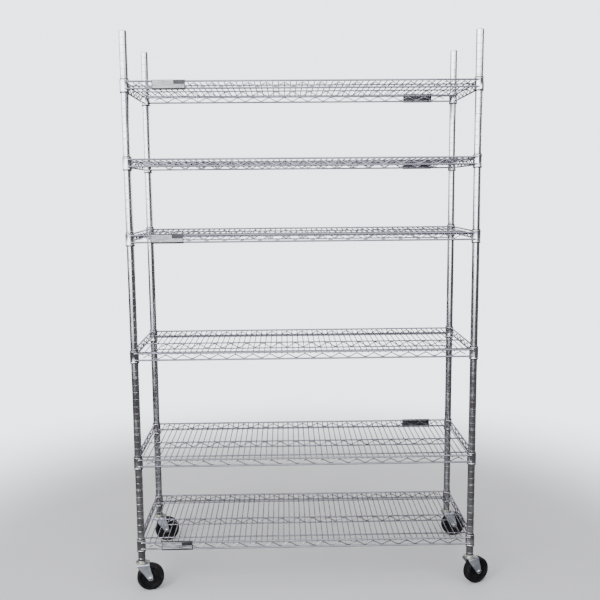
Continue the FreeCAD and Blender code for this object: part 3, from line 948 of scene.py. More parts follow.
@dataclass
class WireShelf:
    """One welded wire shelf.  Heights in its fields are drops below the tops of its collars."""

    edge_radius: float = 3.1
    edge_sides: int = 20
    surface_radius: float = 1.7
    surface_sides: int = 12
    surface_round: float = 0.5
    rib_radius: float = 2.4
    rib_sides: int = 14
    rib_round: float = 0.6
    upper_drop: float = 7.6
    lower_drop: float = 31.0
    surface_drop: float = 11.7
    rib_drop: float = 15.3
    mid_lower_drop: float = 36.4
    weld_sink: float = 0.6
    front_offset: float = 14.2
    side_offset: float = 10.35
    front_end: float = 4.0
    pitch: float = 20.0
    wires_each_side: int = 29
    wire_end: float = 1.6
    rib_y: float = 165.0
    mid_lower_half: float = 550.0
    long_crests: int = 37
    side_crests: int = 11
    middle_crests: int = 35
    bead: tuple[float, float, float] = (2.5, 2.3, 1.1)
    lap_weld: tuple[float, float, float] = (4.5, 2.0, 2.6)
    lap_inset: float = 1.5
    lap_sink: float = 0.2
    butt_weld: tuple[float, float, float] = (3.6, 2.2, 3.6)
    collar_radius: float = 15.9
    collar_height: float = 41.0
    collar_waist: float = 0.35
    collar_chamfer: float = 0.5
    collar_edge: float = 0.3
    collar_steps: int = 48
    bore_top: float = 14.2
    bore_foot: float = 14.8

    def __post_init__(self) -> None:
        """Read the post spacing from the frame."""
        corner = Corner.BACK_RIGHT.axis() / MM
        self.half_x = corner.x
        self.half_y = corner.y
        self.front_y = corner.y + self.front_offset
        self.side_x = corner.x + self.side_offset

    def cross_wires(self) -> BMesh:
        """The close cross wires and the long ribs under them.

        Returns:
            The wires and ribs as one mesh.
        """
        round_wire = (self.surface_sides, self.surface_round)
        full = rod(self.surface_radius, 2 * (self.front_y + self.wire_end), *round_wire)
        short = rod(self.surface_radius, 2 * self.half_y, *round_wire)
        rib = rod(self.rib_radius, 2 * self.side_x, self.rib_sides, self.rib_round)
        last = self.wires_each_side
        drop = -self.surface_drop
        inner = [shift(n * self.pitch, 0, drop) @ QUARTER for n in range(1 - last, last)]
        outer = [shift(n * last * self.pitch, 0, drop) @ QUARTER for n in (-1, 1)]
        mesh = copies(full, inner)
        stamp(mesh, short, outer)
        stamp(mesh, rib, [shift(0, y, -self.rib_drop) for y in (-self.rib_y, 0, self.rib_y)])
        release(full, short, rib)
        return mesh

    def trimmed_wire(self, length: float, reach: list[tuple[float, float]]) -> BMesh:
        """A round perimeter wire along X whose ends are cut to a shape.

        Args:
            length: the wire's length before it is cut.
            reach: half length of the wire at each angle round it, as (angle, half length).

        Returns:
            The closed wire.
        """
        mesh = bmesh.new()
        radius = self.edge_radius * MM
        bmesh.ops.create_cone(
            mesh, cap_ends=False, segments=len(reach), radius1=radius, radius2=radius,
            depth=length * MM, matrix=ONTO_X,
        )
        for vert in mesh.verts:
            angle = math.atan2(vert.co.z, vert.co.y)
            half = min(reach, key=lambda pair: abs(math.remainder(pair[0] - angle, math.tau)))[1]
            vert.co.x = math.copysign(half * MM, vert.co.x)
        bmesh.ops.poke(mesh, faces=close_holes(mesh))
        tidy(mesh)
        return mesh

    def frame_wires(self) -> BMesh:
        """The perimeter wires, cut where they meet the collars, and the middle truss's lower wire.

        Returns:
            The nine wires as one mesh.
        """
        long_reach = []
        short_reach = []
        for number in range(self.edge_sides):
            angle = math.tau * (number + 0.5) / self.edge_sides - math.pi
            off = self.edge_radius * math.cos(angle)
            lap = math.sqrt(max(self.collar_radius**2 - (self.front_offset + off) ** 2, 0))
            butt = math.sqrt(self.collar_radius**2 - (self.side_offset + off) ** 2)
            long_reach.append((angle, self.half_x - max(self.front_end, lap)))
            short_reach.append((angle, self.half_y - butt))
        long_wire = self.trimmed_wire(2 * self.half_x, long_reach)
        short_wire = self.trimmed_wire(2 * self.half_y, short_reach)
        mesh = bmesh.new()
        for drop in (self.upper_drop, self.lower_drop):
            for side in Side:
                stamp(mesh, long_wire, [side.turn() @ shift(0, self.front_y, -drop)])
                stamp(mesh, short_wire, [side.turn() @ QUARTER @ shift(0, self.side_x, -drop)])
        middle = rod(self.rib_radius, 2 * self.mid_lower_half, self.rib_sides, self.rib_round)
        stamp(mesh, middle, [shift(0, 0, -self.mid_lower_drop)])
        release(long_wire, short_wire, middle)
        return mesh

    def waves(self) -> dict[str, Wave]:
        """The long, side and middle truss waves.

        Returns:
            Each wave by its name.
        """
        reach = Wave.radius - self.weld_sink
        peak = -(self.surface_drop + self.surface_radius + reach)
        trough = -(self.lower_drop - self.edge_radius - reach)
        mid_peak = -(self.rib_drop + self.rib_radius + reach)
        mid_trough = -(self.mid_lower_drop - self.rib_radius - reach)
        return {
            "long": Wave(self.long_crests, peak, trough, True),
            "side": Wave(self.side_crests, peak, trough, False),
            "middle": Wave(self.middle_crests, mid_peak, mid_trough, True),
        }

    def truss_waves(self) -> BMesh:
        """The five snaking wires of a shelf.

        Returns:
            The wires as one mesh.
        """
        mesh = bmesh.new()
        places = {
            "long": [shift(0, side.value * self.front_y, 0) for side in Side],
            "side": [shift(side.value * self.side_x, 0, 0) @ QUARTER for side in Side],
            "middle": [IN_PLACE],
        }
        for name, wave in self.waves().items():
            template = wave.build()
            stamp(mesh, template, places[name])
            release(template)
        return mesh

    def mat_welds(self) -> list[Matrix]:
        """Where the cross wires are welded to the ribs and the upper edge wires.

        Returns:
            One place for each weld.
        """
        places = []
        last = self.wires_each_side
        on_rib = self.surface_drop + self.rib_drop + self.surface_radius - self.rib_radius
        on_edge = self.upper_drop + self.surface_drop + self.edge_radius - self.surface_radius
        for number in range(-last, last + 1):
            x = number * self.pitch
            for y in (-self.rib_y, 0, self.rib_y):
                places.append(shift(x, y, -on_rib / 2))
            if abs(number) < last:
                for side in Side:
                    places.append(shift(x, side.value * self.front_y, -on_edge / 2))
        return places

    def truss_welds(self) -> list[Matrix]:
        """Where the waves are welded to the straight wires.

        Returns:
            One place for each weld.
        """
        places = []
        for name, wave in self.waves().items():
            for number in range(wave.crests):
                high = (number % 2 == 0) == wave.starts_high
                along = (number - (wave.crests - 1) / 2) * wave.period / 2
                height = wave.peak + wave.radius if high else wave.trough - wave.radius
                if name == "middle":
                    places.append(shift(along, 0, height))
                elif name == "long" and not high:
                    for side in Side:
                        places.append(shift(along, side.value * self.front_y, height))
                elif not high:
                    for side in Side:
                        x = side.value * self.side_x
                        places.append(shift(x, along, height) @ QUARTER)
        return places

    def welds(self) -> BMesh:
        """The squeezed weld metal at every crossing.

        Returns:
            The beads as one mesh.
        """
        bead = nugget(*self.bead)
        mesh = copies(bead, self.mat_welds() + self.truss_welds())
        release(bead)
        return mesh

    def collar(self) -> BMesh:
        """One tapered collar about Z, with a bead at its top and its foot.

        Returns:
            The collar, its top at height zero.
        """
        foot = -self.collar_height
        outer = self.collar_radius
        chamfered = outer - self.collar_chamfer
        waist = outer - self.collar_waist
        return lathe([
            (self.bore_foot, foot),
            (chamfered, foot),
            (outer, foot + 0.7),
            (outer, foot + 2.2),
            (waist, foot + 3.0),
            (waist, -3.2),
            (outer, -2.4),
            (outer, -0.7),
            (chamfered, 0),
            (self.bore_top, 0),
        ], self.collar_steps, closed=True, rounding=self.collar_edge)

    def collars(self) -> BMesh:
        """The four collars, and the welds that hold the edge wires to them.

        Returns:
            Collars and welds as one mesh.
        """
        collar = self.collar()
        lap = nugget(*self.lap_weld)
        butt = nugget(*self.butt_weld)
        mesh = copies(collar, post_places())
        lap_x = self.half_x - self.front_end - self.lap_inset
        lap_y = self.half_y + self.collar_radius - self.lap_sink
        butt_y = self.half_y - math.sqrt(self.collar_radius**2 - self.side_offset**2)
        for drop in (self.upper_drop, self.lower_drop):
            for side_x in Side:
                for side_y in Side:
                    x, y = side_x.value, side_y.value
                    stamp(mesh, lap, [shift(x * lap_x, y * lap_y, -drop)])
                    stamp(mesh, butt, [shift(x * self.side_x, y * butt_y, -drop)])
        release(collar, lap, butt)
        return mesh

    def build(self) -> None:
        """Make every shelf's pieces from one set of shapes, in chrome."""
        wire = (CHROME_WIRE_PAINTED_SHADE, "chrome_wire")
        shapes = {
            "cross_wires_and_ribs": (self.cross_wires(), *wire, "surface_grille"),
            "weld_beads": (self.welds(), WELD_BEAD, "chrome_wire", None),
            "edge_wires": (self.frame_wires(), *wire, "frame_wires"),
            "truss_snake_wires": (self.truss_waves(), *wire, "truss_waves"),
            "welded_collars": (self.collars(), CHROME_COLLAR, "chrome_collar", "corner_collars"),
        }
        for shelf in SHELVES:
            body = f"shelf_{shelf}"
            lift = Matrix.Translation((0, 0, collar_top(shelf)))
            for name, (shape, finish, slot, node) in shapes.items():
                nodes = [f"{body}_{node}"] if node else []
                add_piece(f"{body}_{name}", copies(shape, [lift]), finish, body, nodes)
        release(*(shape for shape, *_ in shapes.values()))


# ------------------------------------------------------------------ label holders
@dataclass
class LabelHolders:
    """Sheet strips hooked over the edge wires, each with a card and a plain dark patch."""

    length: float = 110.0
    sheet: float = 1.2
    wire_gap: float = 3.4
    upper_drop: float = 7.6
    lower_drop: float = 31.0
    lip: float = 2.6
    bend: float = 2.6
    bend_steps: int = 4
    strip_edge: float = 0.25
    card_length: float = 105.0
    card_height: float = 25.0
    card_thickness: float = 0.4
    card_lift: float = 2.0
    card_corner: float = 1.2
    corner_steps: int = 4
    patch_length: float = 36.0
    patch_height: float = 12.5
    patch_thickness: float = 0.15
    patch_inset: float = 0.4

    def strip(self) -> BMesh:
        """One holder facing +Y, its edge wires' plane at Y = 0 and its middle at X = 0.

        Returns:
            The folded strip.
        """
        reach = self.wire_gap + self.sheet
        top = -self.upper_drop + reach
        foot = -self.lower_drop - reach
        back = -self.wire_gap - self.sheet / 2
        points = [
            (back, top - self.sheet - self.lip), (back, top), (reach, top),
            (reach, foot), (back, foot), (back, foot + self.sheet + self.lip),
        ]
        mesh = chain([Vector((-self.length / 2, y, z)) * MM for y, z in points], False)
        round_corners(mesh, self.bend, self.bend_steps)
        pull(mesh, list(mesh.edges), Vector((self.length, 0, 0)))
        thicken(mesh, Vector((0, 1, 0)), self.sheet)
        soften(mesh, self.strip_edge, 2, SQUARE_ANGLE)
        return mesh

    def plate(self, length: float, height: float, thickness: float, place: Matrix) -> BMesh:
        """A thin plate facing +Y with rounded corners.

        Args:
            length: its size along X, in millimetres.
            height: its size along Z.
            thickness: its size along Y.
            place: where its middle goes.

        Returns:
            The closed plate.
        """
        mesh = bmesh.new()
        size = Matrix.Diagonal((length * MM, thickness * MM, height * MM, 1))
        bmesh.ops.create_cube(mesh, size=1, matrix=place @ size)
        across = thickness * MM / 2
        corners = [e for e in mesh.edges if abs(e.verts[0].co.y - e.verts[1].co.y) > across]
        bevel_edges(mesh, corners, self.card_corner, self.corner_steps)
        return mesh

    def card(self) -> BMesh:
        """The card, on the strip's face.

        Returns:
            The closed card.
        """
        y = self.wire_gap + self.sheet + self.card_thickness / 2
        place = shift(0, y, self.card_middle())
        return self.plate(self.card_length, self.card_height, self.card_thickness, place)

    def patch(self) -> BMesh:
        """The plain dark patch, in the card's upper left corner.

        Returns:
            The closed patch.
        """
        x = -(self.card_length - self.patch_length) / 2 + self.patch_inset
        y = self.wire_gap + self.sheet + self.card_thickness + self.patch_thickness / 2
        z = self.card_middle() + (self.card_height - self.patch_height) / 2 - self.patch_inset
        place = shift(x, y, z)
        return self.plate(self.patch_length, self.patch_height, self.patch_thickness, place)

    def card_middle(self) -> float:
        """Height of the middle of the card."""
        return -(self.upper_drop + self.lower_drop) / 2 + self.card_lift

    def places(self, node: str, shelf: int) -> list[Matrix]:
        """Where a shelf's holders are, read from the frame's node.

        Args:
            node: the frame's label holder node.
            shelf: the shelf's number.

        Returns:
            One matrix for each holder: on the back edge, or turned round on the front edge.
        """
        data = frame["nodes"][node].data
        edge_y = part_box(f"shelf_{shelf}_frame_wires")[1].y - WireShelf.edge_radius * MM
        found = []
        for side in Side:
            along = [v.co.x for v in data.vertices if v.co.y * side.value > 0]
            if along:
                middle = (min(along) + max(along)) / 2
                place = Vector((middle, side.value * edge_y, collar_top(shelf)))
                found.append(Matrix.Translation(place) @ side.turn())
        return found

    def build(self) -> None:
        """Make the holders, cards and patches of each shelf that has them."""
        shapes = {
            "hooked_label_strips": (self.strip(), LABEL_SHEET),
            "label_cards": (self.card(), LABEL_CARD),
            "label_card_patches": (self.patch(), LABEL_PATCH),
        }
        for shelf in SHELVES:
            body = f"shelf_{shelf}"
            node = f"{body}_label_holders"
            if node not in frame["nodes"]:
                continue
            places = self.places(node, shelf)
            for name, (shape, finish) in shapes.items():
                nodes = [node] if finish is LABEL_SHEET else []
                mesh = copies(shape, places)
                add_piece(f"{body}_{name}", mesh, finish, body, nodes)
        release(*(shape for shape, _ in shapes.values()))


# ------------------------------------------------------------------ casters
@dataclass
class Caster:
    """A swivel caster, built trailing along +X under a post at the origin."""

    wheel_radius: float = 48.0
    trail: float = 29.0
    tyre_half: float = 15.0
    tyre_inner: float = 38.0
    tyre_steps: int = 72
    shoulder: float = 7.0
    shoulder_steps: int = 7
    crown_fall: float = 0.12
    seam: float = 0.05
    core_half: float = 13.0
    core_edge: float = 0.5
    core_steps: int = 64
    web_half: float = 8.5
    web_outer: float = 33.0
    web_ring: float = 0.6
    hub_radius: float = 14.0
    hub_half: float = 17.4
    fillet: float = 2.0
    bore: float = 6.06
    fork_front: float = 17.0
    fork_rear: float = 27.0
    fork_sheet: float = 2.5
    fork_half: float = 21.2
    fork_top: float = 101.5
    fork_bend: float = 4.0
    fork_bend_steps: int = 5
    fork_edge: float = 0.4
    leg_shoulder: float = 94.0
    tip_radius: float = 9.5
    tip_steps: int = 14
    lower_race_rise: float = 1.5
    lower_race_steps: int = 40
    race_radius: float = 21.5
    race_top: float = 107.8
    race_sheet: float = 2.4
    race_skirt: float = 2.6
    race_edge: float = 0.4
    race_steps: int = 56
    stem_hole: float = 5.55
    kingpin_hole: float = 5.58
    axle_radius: float = 4.0
    axle_steps: int = 32
    head_radius: float = 6.5
    head_height: float = 3.2
    head_rim: float = 1.0
    dome_steps: int = 5
    thread_turns: int = 4
    thread_pitch: float = 1.2
    thread_depth: float = 0.35
    seat: float = 0.05
    nut_flats: float = 13.0
    nut_height: float = 5.0
    nut_hexagon: float = 3.6
    nut_chamfer: float = 0.5
    small_edge: float = 0.3

    def on_axle(self, mesh: BMesh) -> BMesh:
        """Turn a shape made about Z onto the axle, its +Z end towards -Y.

        Args:
            mesh: the shape, changed in place.

        Returns:
            The same mesh.
        """
        place = shift(self.trail, 0, self.wheel_radius) @ Matrix.Rotation(math.pi / 2, 4, "X")
        bmesh.ops.transform(mesh, matrix=place, verts=list(mesh.verts))
        return mesh

    @staticmethod
    def both_sides(upper: Profile) -> Profile:
        """An outline and its mirror image, as one ring."""
        return [*upper, *((r, -z) for r, z in reversed(upper))]

    def tyre(self) -> BMesh:
        """The rubber band: crowned tread, round shoulders, a moulding line and a side bead.

        Returns:
            The tyre, on its axle.
        """
        flank = self.wheel_radius - self.shoulder
        half = self.tyre_half
        upper = [
            (self.tyre_inner, half - 0.4),
            (self.tyre_inner + 0.5, half),
            (flank - 1.6, half),
            (flank - 1.2, half - 0.45),
            (flank - 0.4, half - 0.45),
            (flank, half),
        ]
        for step in range(1, self.shoulder_steps + 1):
            share = step / self.shoulder_steps
            angle = math.pi / 2 * share
            radius = flank + self.shoulder * math.sin(angle) - self.crown_fall * share
            upper.append((radius, half - self.shoulder + self.shoulder * math.cos(angle)))
        upper += [(self.wheel_radius - self.seam, 0.5), (self.wheel_radius, 0.25)]
        return self.on_axle(lathe(self.both_sides(upper), self.tyre_steps, closed=True))

    def core(self) -> BMesh:
        """The wheel body: hub, recessed web with a raised ring, and rim.

        Returns:
            The core, on its axle.
        """
        ring = (self.web_outer + self.hub_radius) / 2
        raised = self.web_half + self.web_ring
        outline = self.both_sides([
            (self.tyre_inner - self.seam, self.core_half),
            (self.web_outer + self.fillet, self.core_half),
            (self.web_outer, self.web_half),
            (ring + 1.4, self.web_half),
            (ring + 0.8, raised),
            (ring - 0.8, raised),
            (ring - 1.4, self.web_half),
            (self.hub_radius + self.fillet, self.web_half),
            (self.hub_radius, self.hub_half),
            (self.bore, self.hub_half),
        ])
        return self.on_axle(lathe(outline, self.core_steps, closed=True, rounding=self.core_edge))

    def tangent(self, start: Vector, side: Side) -> Vector:
        """Where a line touches the round tip of a leg, seen from the side.

        Args:
            start: where the line starts.
            side: which side of the tip it touches.

        Returns:
            The point of touch.
        """
        tip = Vector((self.trail, 0, self.wheel_radius))
        away = start - tip
        angle = math.atan2(away.z, away.x) - side.value * math.acos(self.tip_radius / away.length)
        return tip + Vector((math.cos(angle), 0, math.sin(angle))) * self.tip_radius

    def fork(self) -> BMesh:
        """The pressed fork: a folded top, two tapering legs with round tips, and the lower race.

        Returns:
            The fork and the race as one mesh.
        """
        half = self.fork_half
        ends = [(-half, self.leg_shoulder), (-half, self.fork_top)]
        ends += [(half, self.fork_top), (half, self.leg_shoulder)]
        mesh = chain([Vector((-self.fork_front, y, z)) * MM for y, z in ends], False)
        round_corners(mesh, self.fork_bend, self.fork_bend_steps)
        pull(mesh, list(mesh.edges), Vector((self.fork_front + self.fork_rear, 0, 0)))
        for side in Side:
            self.leg(mesh, side)
        thicken(mesh, Vector((0, 0, 1)), self.fork_sheet)
        soften(mesh, self.fork_edge, 2, SQUARE_ANGLE)
        race = self.lower_race()
        stamp(mesh, race, [IN_PLACE])
        release(race)
        return mesh

    def lower_race(self) -> BMesh:
        """The raised ring on top of the fork.

        Returns:
            The ring about Z.
        """
        foot = self.fork_top - 0.3
        crest = self.fork_top + self.lower_race_rise
        return lathe([
            (self.kingpin_hole, foot),
            (12.8, foot),
            (11.2, crest),
            (7.4, crest),
            (self.kingpin_hole, self.fork_top + 0.6),
        ], self.lower_race_steps, closed=True, rounding=self.small_edge)

    def leg(self, mesh: BMesh, side: Side) -> None:
        """Draw one leg down from the shoulder edge to its round tip.

        Args:
            mesh: the fork's sheet, changed in place.
            side: which leg.
        """
        y = side.value * self.fork_half
        front = Vector((-self.fork_front, 0, self.leg_shoulder))
        rear = Vector((self.fork_rear, 0, self.leg_shoulder))
        edge = min(mesh.edges, key=lambda e: sum(
            (v.co - Vector((v.co.x, y * MM, self.leg_shoulder * MM))).length for v in e.verts
        ))
        made = bmesh.ops.extrude_edge_only(mesh, edges=[edge])["geom"]
        low, high = sorted((g for g in made if isinstance(g, BMVert)), key=lambda v: v.co.x)
        for vert, start, touch in ((low, front, Side.LOW), (high, rear, Side.HIGH)):
            point = self.tangent(start, touch)
            vert.co = Vector((point.x, y, point.z)) * MM
        tip = Vector((self.trail, y, self.wheel_radius)) * MM
        from_angle = math.atan2(high.co.z - tip.z, high.co.x - tip.x)
        to_angle = math.atan2(low.co.z - tip.z, low.co.x - tip.x)
        spun = bmesh.ops.spin(
            mesh, geom=[high], cent=tip, axis=(0, 1, 0), dvec=(0, 0, 0),
            angle=(from_angle - to_angle) % math.tau, steps=self.tip_steps,
            use_merge=False, use_duplicate=False,
        )["geom_last"]
        last = next(g for g in spun if isinstance(g, BMVert))
        bmesh.ops.weld_verts(mesh, targetmap={last: low})
        rim = [e for e in mesh.edges if not e.link_faces]
        closing = next(e for e in high.link_edges if e.other_vert(high) is low)
        bmesh.ops.contextual_create(mesh, geom=rim + [closing])

    def race_cup(self) -> BMesh:
        """The upper race under the foot of a post: a flanged cup with a rolled skirt.

        Returns:
            The cup about Z.
        """
        under = self.race_top - self.race_sheet
        inner = self.race_radius - self.race_sheet
        return lathe([
            (self.stem_hole, self.race_top),
            (13.6, self.race_top),
            (15.0, self.race_top - 0.5),
            (inner, self.race_top - 0.5),
            (self.race_radius, under - 0.4),
            (self.race_radius, under - self.race_skirt),
            (inner, under - self.race_skirt),
            (inner, under - 0.6),
            (inner - 0.6, under),
            (self.stem_hole, under),
        ], self.race_steps, closed=True, rounding=self.race_edge)

    def bolt(self) -> BMesh:
        """The axle bolt's domed head and its threaded tail.

        Returns:
            The bolt, on its axle.
        """
        face = self.fork_half + self.seat
        tail = self.fork_half + self.nut_height + 2.0
        profile = [(0, -tail), (self.axle_radius - 1.0, -tail)]
        for number in range(self.thread_turns):
            z = -tail + 1.0 + number * self.thread_pitch
            root = self.axle_radius - self.thread_depth
            profile += [(self.axle_radius, z), (root, z + self.thread_pitch / 2)]
        profile += [(self.axle_radius, -self.fork_half), (self.axle_radius, face)]
        profile.append((self.head_radius, face))
        dome = self.head_height - self.head_rim
        for step in range(self.dome_steps):
            angle = math.pi / 2 * step / self.dome_steps
            z = face + self.head_rim + dome * math.sin(angle)
            profile.append((self.head_radius * math.cos(angle), z))
        profile.append((0, face + self.head_height))
        return self.on_axle(lathe(profile, self.axle_steps))

    def nut(self) -> BMesh:
        """The hexagon nut with chamfered corners and a round locking collar.

        Returns:
            The nut, on its axle.
        """
        mesh = bmesh.new()
        face = -self.fork_half - self.seat
        corner_radius = self.nut_flats / math.sqrt(3) * MM
        bmesh.ops.create_cone(
            mesh, cap_ends=True, cap_tris=False, segments=6, radius1=corner_radius,
            radius2=corner_radius, depth=self.nut_hexagon * MM,
            matrix=shift(0, 0, face - self.nut_hexagon / 2),
        )
        soften(mesh, self.nut_chamfer)
        inner = self.axle_radius + 0.1
        collar = lathe([
            (inner, face - self.nut_hexagon),
            (self.nut_flats / 2 - 0.6, face - self.nut_hexagon),
            (self.nut_flats / 2 - 0.9, face - self.nut_height),
            (inner, face - self.nut_height),
        ], self.axle_steps, closed=True, rounding=self.small_edge)
        stamp(mesh, collar, [IN_PLACE])
        release(collar)
        return self.on_axle(mesh)

    def bolt_and_nut(self) -> BMesh:
        """The axle's two ends.

        Returns:
            Bolt and nut as one mesh.
        """
        mesh = self.bolt()
        nut = self.nut()
        stamp(mesh, nut, [IN_PLACE])
        release(nut)
        return mesh

    def build(self) -> None:
        """Make the four casters from one set of shapes, in zinc, plastic and rubber."""
        fork = (self.fork(), ZINC_PLATE, "swivel", "zinc_plate", "caster_fork")
        bolt = (self.bolt_and_nut(), ZINC_BOLT, "swivel", "zinc_bolt", "axle_bolt")
        core = (self.core(), WHEEL_PLASTIC, "wheel", "wheel_plastic", "wheel_core")
        tyre = (self.tyre(), TYRE_RUBBER, "wheel", "tyre_rubber", "wheel_tyre")
        shapes = {
            "pressed_fork": fork,
            "domed_axle_bolt": bolt,
            "moulded_wheel_core": core,
            "moulded_tyre": tyre,
        }
        for corner in Corner:
            for name, (shape, finish, part, slot, node) in shapes.items():
                mesh = copies(shape, [corner.caster_place()])
                body = f"{corner.value}_{part}"
                nodes = [f"{corner.value}_{node}"]
                add_piece(f"{corner.value}_{name}", mesh, finish, body, nodes)
        release(*(shape for shape, *_ in shapes.values()))
        cup = self.race_cup()
        cups = copies(cup, post_places())
        release(cup)
        nodes = ["caster_race_cups"]
        add_piece("rolled_race_cups", cups, ZINC_YELLOW, "post_frame", nodes)

    def dress(self) -> None:
        """Finish the inner nodes that keep their CAD shapes."""
        for corner in Corner:
            dress_node(corner.value + "_wheel_bushing", ZINC_BOLT)
        dress_node("caster_stems", ZINC_PLATE)
        dress_node("swivel_bearing_balls", BALL_STEEL)
        dress_node("post_stem_sockets", SOCKET_PLASTIC)


# ------------------------------------------------------------------ floor, light and camera
@dataclass(frozen=True)
class Patch:
    """A patch of the surroundings round an aim, from cosine `low` at its rim to `high`."""

    aim: tuple[float, float, float]
    low: float
    high: float

    def cover(self, desk: Desk, direction: Socket) -> Socket:
        """How much of the patch a direction meets, from 0 to 1.

        Args:
            desk: the tree's desk.
            direction: the direction looked along.

        Returns:
            The cover.
        """
        inputs = {0: direction, 1: self.aim}
        along = desk.add("ShaderNodeVectorMath", inputs, operation="DOT_PRODUCT")
        return desk.ramp(along.outputs["Value"], self.low, self.high)


@dataclass(frozen=True)
class Lamp:
    """A soft square lamp aimed at the middle of the rack.  Sizes are metres."""

    name: str
    place: tuple[float, float, float]
    power: float
    size: float
    target: tuple[float, float, float] = (0.0, 0.0, 0.95)

    def build(self) -> None:
        """Hang the lamp."""
        data = bpy.data.lights.new(self.name, "AREA")
        data.energy = self.power
        data.size = self.size
        lamp = bpy.data.objects.new(self.name, data)
        lamp.location = self.place
        way = Vector(self.target) - Vector(self.place)
        lamp.rotation_euler = way.to_track_quat("-Z", "Y").to_euler()
        bpy.context.scene.collection.objects.link(lamp)


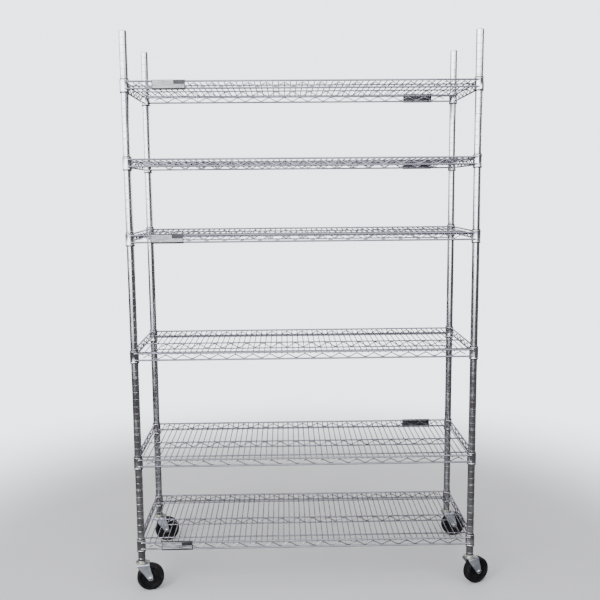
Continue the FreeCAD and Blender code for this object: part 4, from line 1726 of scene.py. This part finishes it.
@dataclass
class Studio:
    """A plain pale floor, soft light, and the camera.  Sizes are metres."""

    floor_radius: float = 2.6
    floor_gap: float = 0.0005
    floor_solid: float = 0.45
    floor_roughness: float = 0.85
    floor_tones: tuple[Colour, Colour] = ((0.88, 0.88, 0.87), (0.93, 0.93, 0.92))
    floor_mirrored: Colour = (0.05, 0.045, 0.042)
    ground: Colour = (0.017, 0.016, 0.018)
    sky: Colour = (0.98, 1.0, 1.06)
    sky_strength: float = 5.6
    backdrop: Colour = (0.88, 0.92, 0.97)
    backdrop_strength: float = 3.5
    front: Patch = Patch((-0.31, -0.95, 0.0), 0.74, 0.95)
    front_drop: float = 0.11
    right_high: Patch = Patch((0.866, 0.5, 0.0), 0.34, 0.58)
    right_low: Patch = Patch((0.866, -0.5, 0.0), 0.58, 0.74)
    behind: Patch = Patch((-0.5, 0.866, 0.0), 0.50, 0.78)
    behind_shade: float = 0.94
    shade: float = 0.985
    lamps: tuple[Lamp, ...] = (
        Lamp("key_lamp", (-2.6, -3.2, 3.4), 70.0, 1.5),
        Lamp("top_lamp", (0.2, -0.6, 4.2), 45.0, 2.4),
        Lamp("back_lamp", (1.2, 3.2, 2.6), 20.0, 2.0),
    )
    lens: float = 48.5
    sensor: float = 36.0
    nearest: float = 0.05
    camera_place: tuple[float, float, float] = (-0.0684, -2.9712, 1.4212)
    pitch: float = 0.1347
    roll: float = -0.0114
    yaw: float = 0.0192

    def floor(self) -> None:
        """Lay a round pale floor that fades out at its edge."""
        mesh = bmesh.new()
        under = Matrix.Translation((0, 0, -self.floor_gap))
        radius = self.floor_radius
        bmesh.ops.create_circle(mesh, cap_ends=True, segments=96, radius=radius, matrix=under)
        data = bpy.data.meshes.new("floor")
        mesh.to_mesh(data)
        mesh.free()
        data.materials.append(self.floor_material())
        floor = bpy.data.objects.new("floor", data)
        bpy.context.scene.collection.objects.link(floor)

    def floor_material(self) -> bpy.types.Material:
        """The floor's finish, pale to the eye and dark in the chrome.

        Returns:
            The material.
        """
        material = bpy.data.materials.new("floor_finish")
        material.use_nodes = True
        desk = Desk(material.node_tree)
        sockets = material.node_tree.nodes["Principled BSDF"].inputs
        position = desk.add("ShaderNodeTexCoord").outputs["Object"]
        cloud = desk.noise(position, 3.0, detail=6.0)
        pale = desk.mix(cloud, *(rgba(tone) for tone in self.floor_tones))
        mirrored = desk.add("ShaderNodeLightPath").outputs["Is Glossy Ray"]
        colour = desk.mix(mirrored, pale, rgba(self.floor_mirrored))
        desk.feed(sockets["Base Color"], colour)
        sockets["Roughness"].default_value = self.floor_roughness
        distance = desk.add("ShaderNodeVectorMath", {0: position}, operation="LENGTH")
        solid = self.floor_solid * self.floor_radius
        alpha = desk.ramp(distance.outputs["Value"], solid, self.floor_radius, 1.0, 0.0)
        desk.feed(sockets["Alpha"], alpha)
        return material

    def glow(self, desk: Desk, direction: Socket) -> Socket:
        """The colours that the chrome reflects: a bright band over dim ground, shaded by patches.

        Args:
            desk: the world's desk.
            direction: the direction looked along.

        Returns:
            The colour in that direction.
        """
        height = desk.upward(direction)
        lowered = desk.product(self.front.cover(desk, direction), self.front_drop)
        raised = desk.math("ADD", height, lowered)
        band = desk.product(
            desk.ramp(raised, low=-0.10, high=0.06),
            desk.ramp(height, low=0.22, high=0.42, start=1.0, end=0.13),
            desk.ramp(height, low=0.70, high=0.95, start=1.0, end=0.35),
        )
        above = desk.ramp(height, low=0.06, high=0.13)
        below = desk.ramp(height, low=0.11, high=0.19, start=1.0, end=0.0)
        right_high = desk.product(self.right_high.cover(desk, direction), above)
        right_low = desk.product(self.right_low.cover(desk, direction), below)
        behind = desk.product(self.behind.cover(desk, direction), self.behind_shade)
        right = desk.math("MAXIMUM", right_high, right_low)
        shaded = desk.product(desk.math("MAXIMUM", right, behind), self.shade)
        lit = desk.product(band, desk.math("SUBTRACT", 1.0, shaded))
        return desk.mix(lit, rgba(self.ground), rgba(self.sky))

    def surroundings(self) -> None:
        """Set a pale backdrop for the eye, and a soft bright sky for the chrome."""
        world = bpy.data.worlds.new("surroundings")
        world.use_nodes = True
        bpy.context.scene.world = world
        world.node_tree.nodes.clear()
        desk = Desk(world.node_tree)
        direction = desk.add("ShaderNodeTexCoord").outputs["Generated"]
        shown = []
        for colour, strength in (
            (self.glow(desk, direction), self.sky_strength),
            (rgba(self.backdrop), self.backdrop_strength),
        ):
            inputs = {"Color": colour, "Strength": strength}
            shown.append(desk.add("ShaderNodeBackground", inputs).outputs[0])
        eye = desk.add("ShaderNodeLightPath").outputs["Is Camera Ray"]
        both = desk.add("ShaderNodeMixShader", dict(enumerate((eye, *shown))))
        desk.add("ShaderNodeOutputWorld", {"Surface": both.outputs[0]})

    def camera(self) -> None:
        """Stand the camera at head height in front of the rack."""
        data = bpy.data.cameras.new("camera")
        data.lens = self.lens
        data.sensor_width = self.sensor
        data.clip_start = self.nearest
        view = bpy.data.objects.new("camera", data)
        turns = ((self.yaw, "Z"), (self.roll, "Y"), (self.pitch, "X"))
        yaw, roll, pitch = (Matrix.Rotation(angle, 3, axis) for angle, axis in turns)
        right, forward, up = yaw @ roll @ pitch
        axes = Matrix((right, up, -forward)).transposed().to_4x4()
        view.matrix_world = Matrix.Translation(self.camera_place) @ axes
        bpy.context.scene.collection.objects.link(view)
        bpy.context.scene.camera = view

    def build(self) -> None:
        """Set the stage."""
        self.floor()
        self.surroundings()
        for lamp in self.lamps:
            lamp.build()
        self.camera()


def main() -> None:
    """Build the rack's looks in order."""
    logging.basicConfig(level=logging.INFO, format="%(name)s %(message)s")
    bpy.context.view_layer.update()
    Studio().build()
    GroovedPosts().build()
    PostCaps().build()
    SplitSleeves().build()
    WireShelf().build()
    LabelHolders().build()
    caster = Caster()
    caster.build()
    caster.dress()


if __name__ == "__main__":
    main()
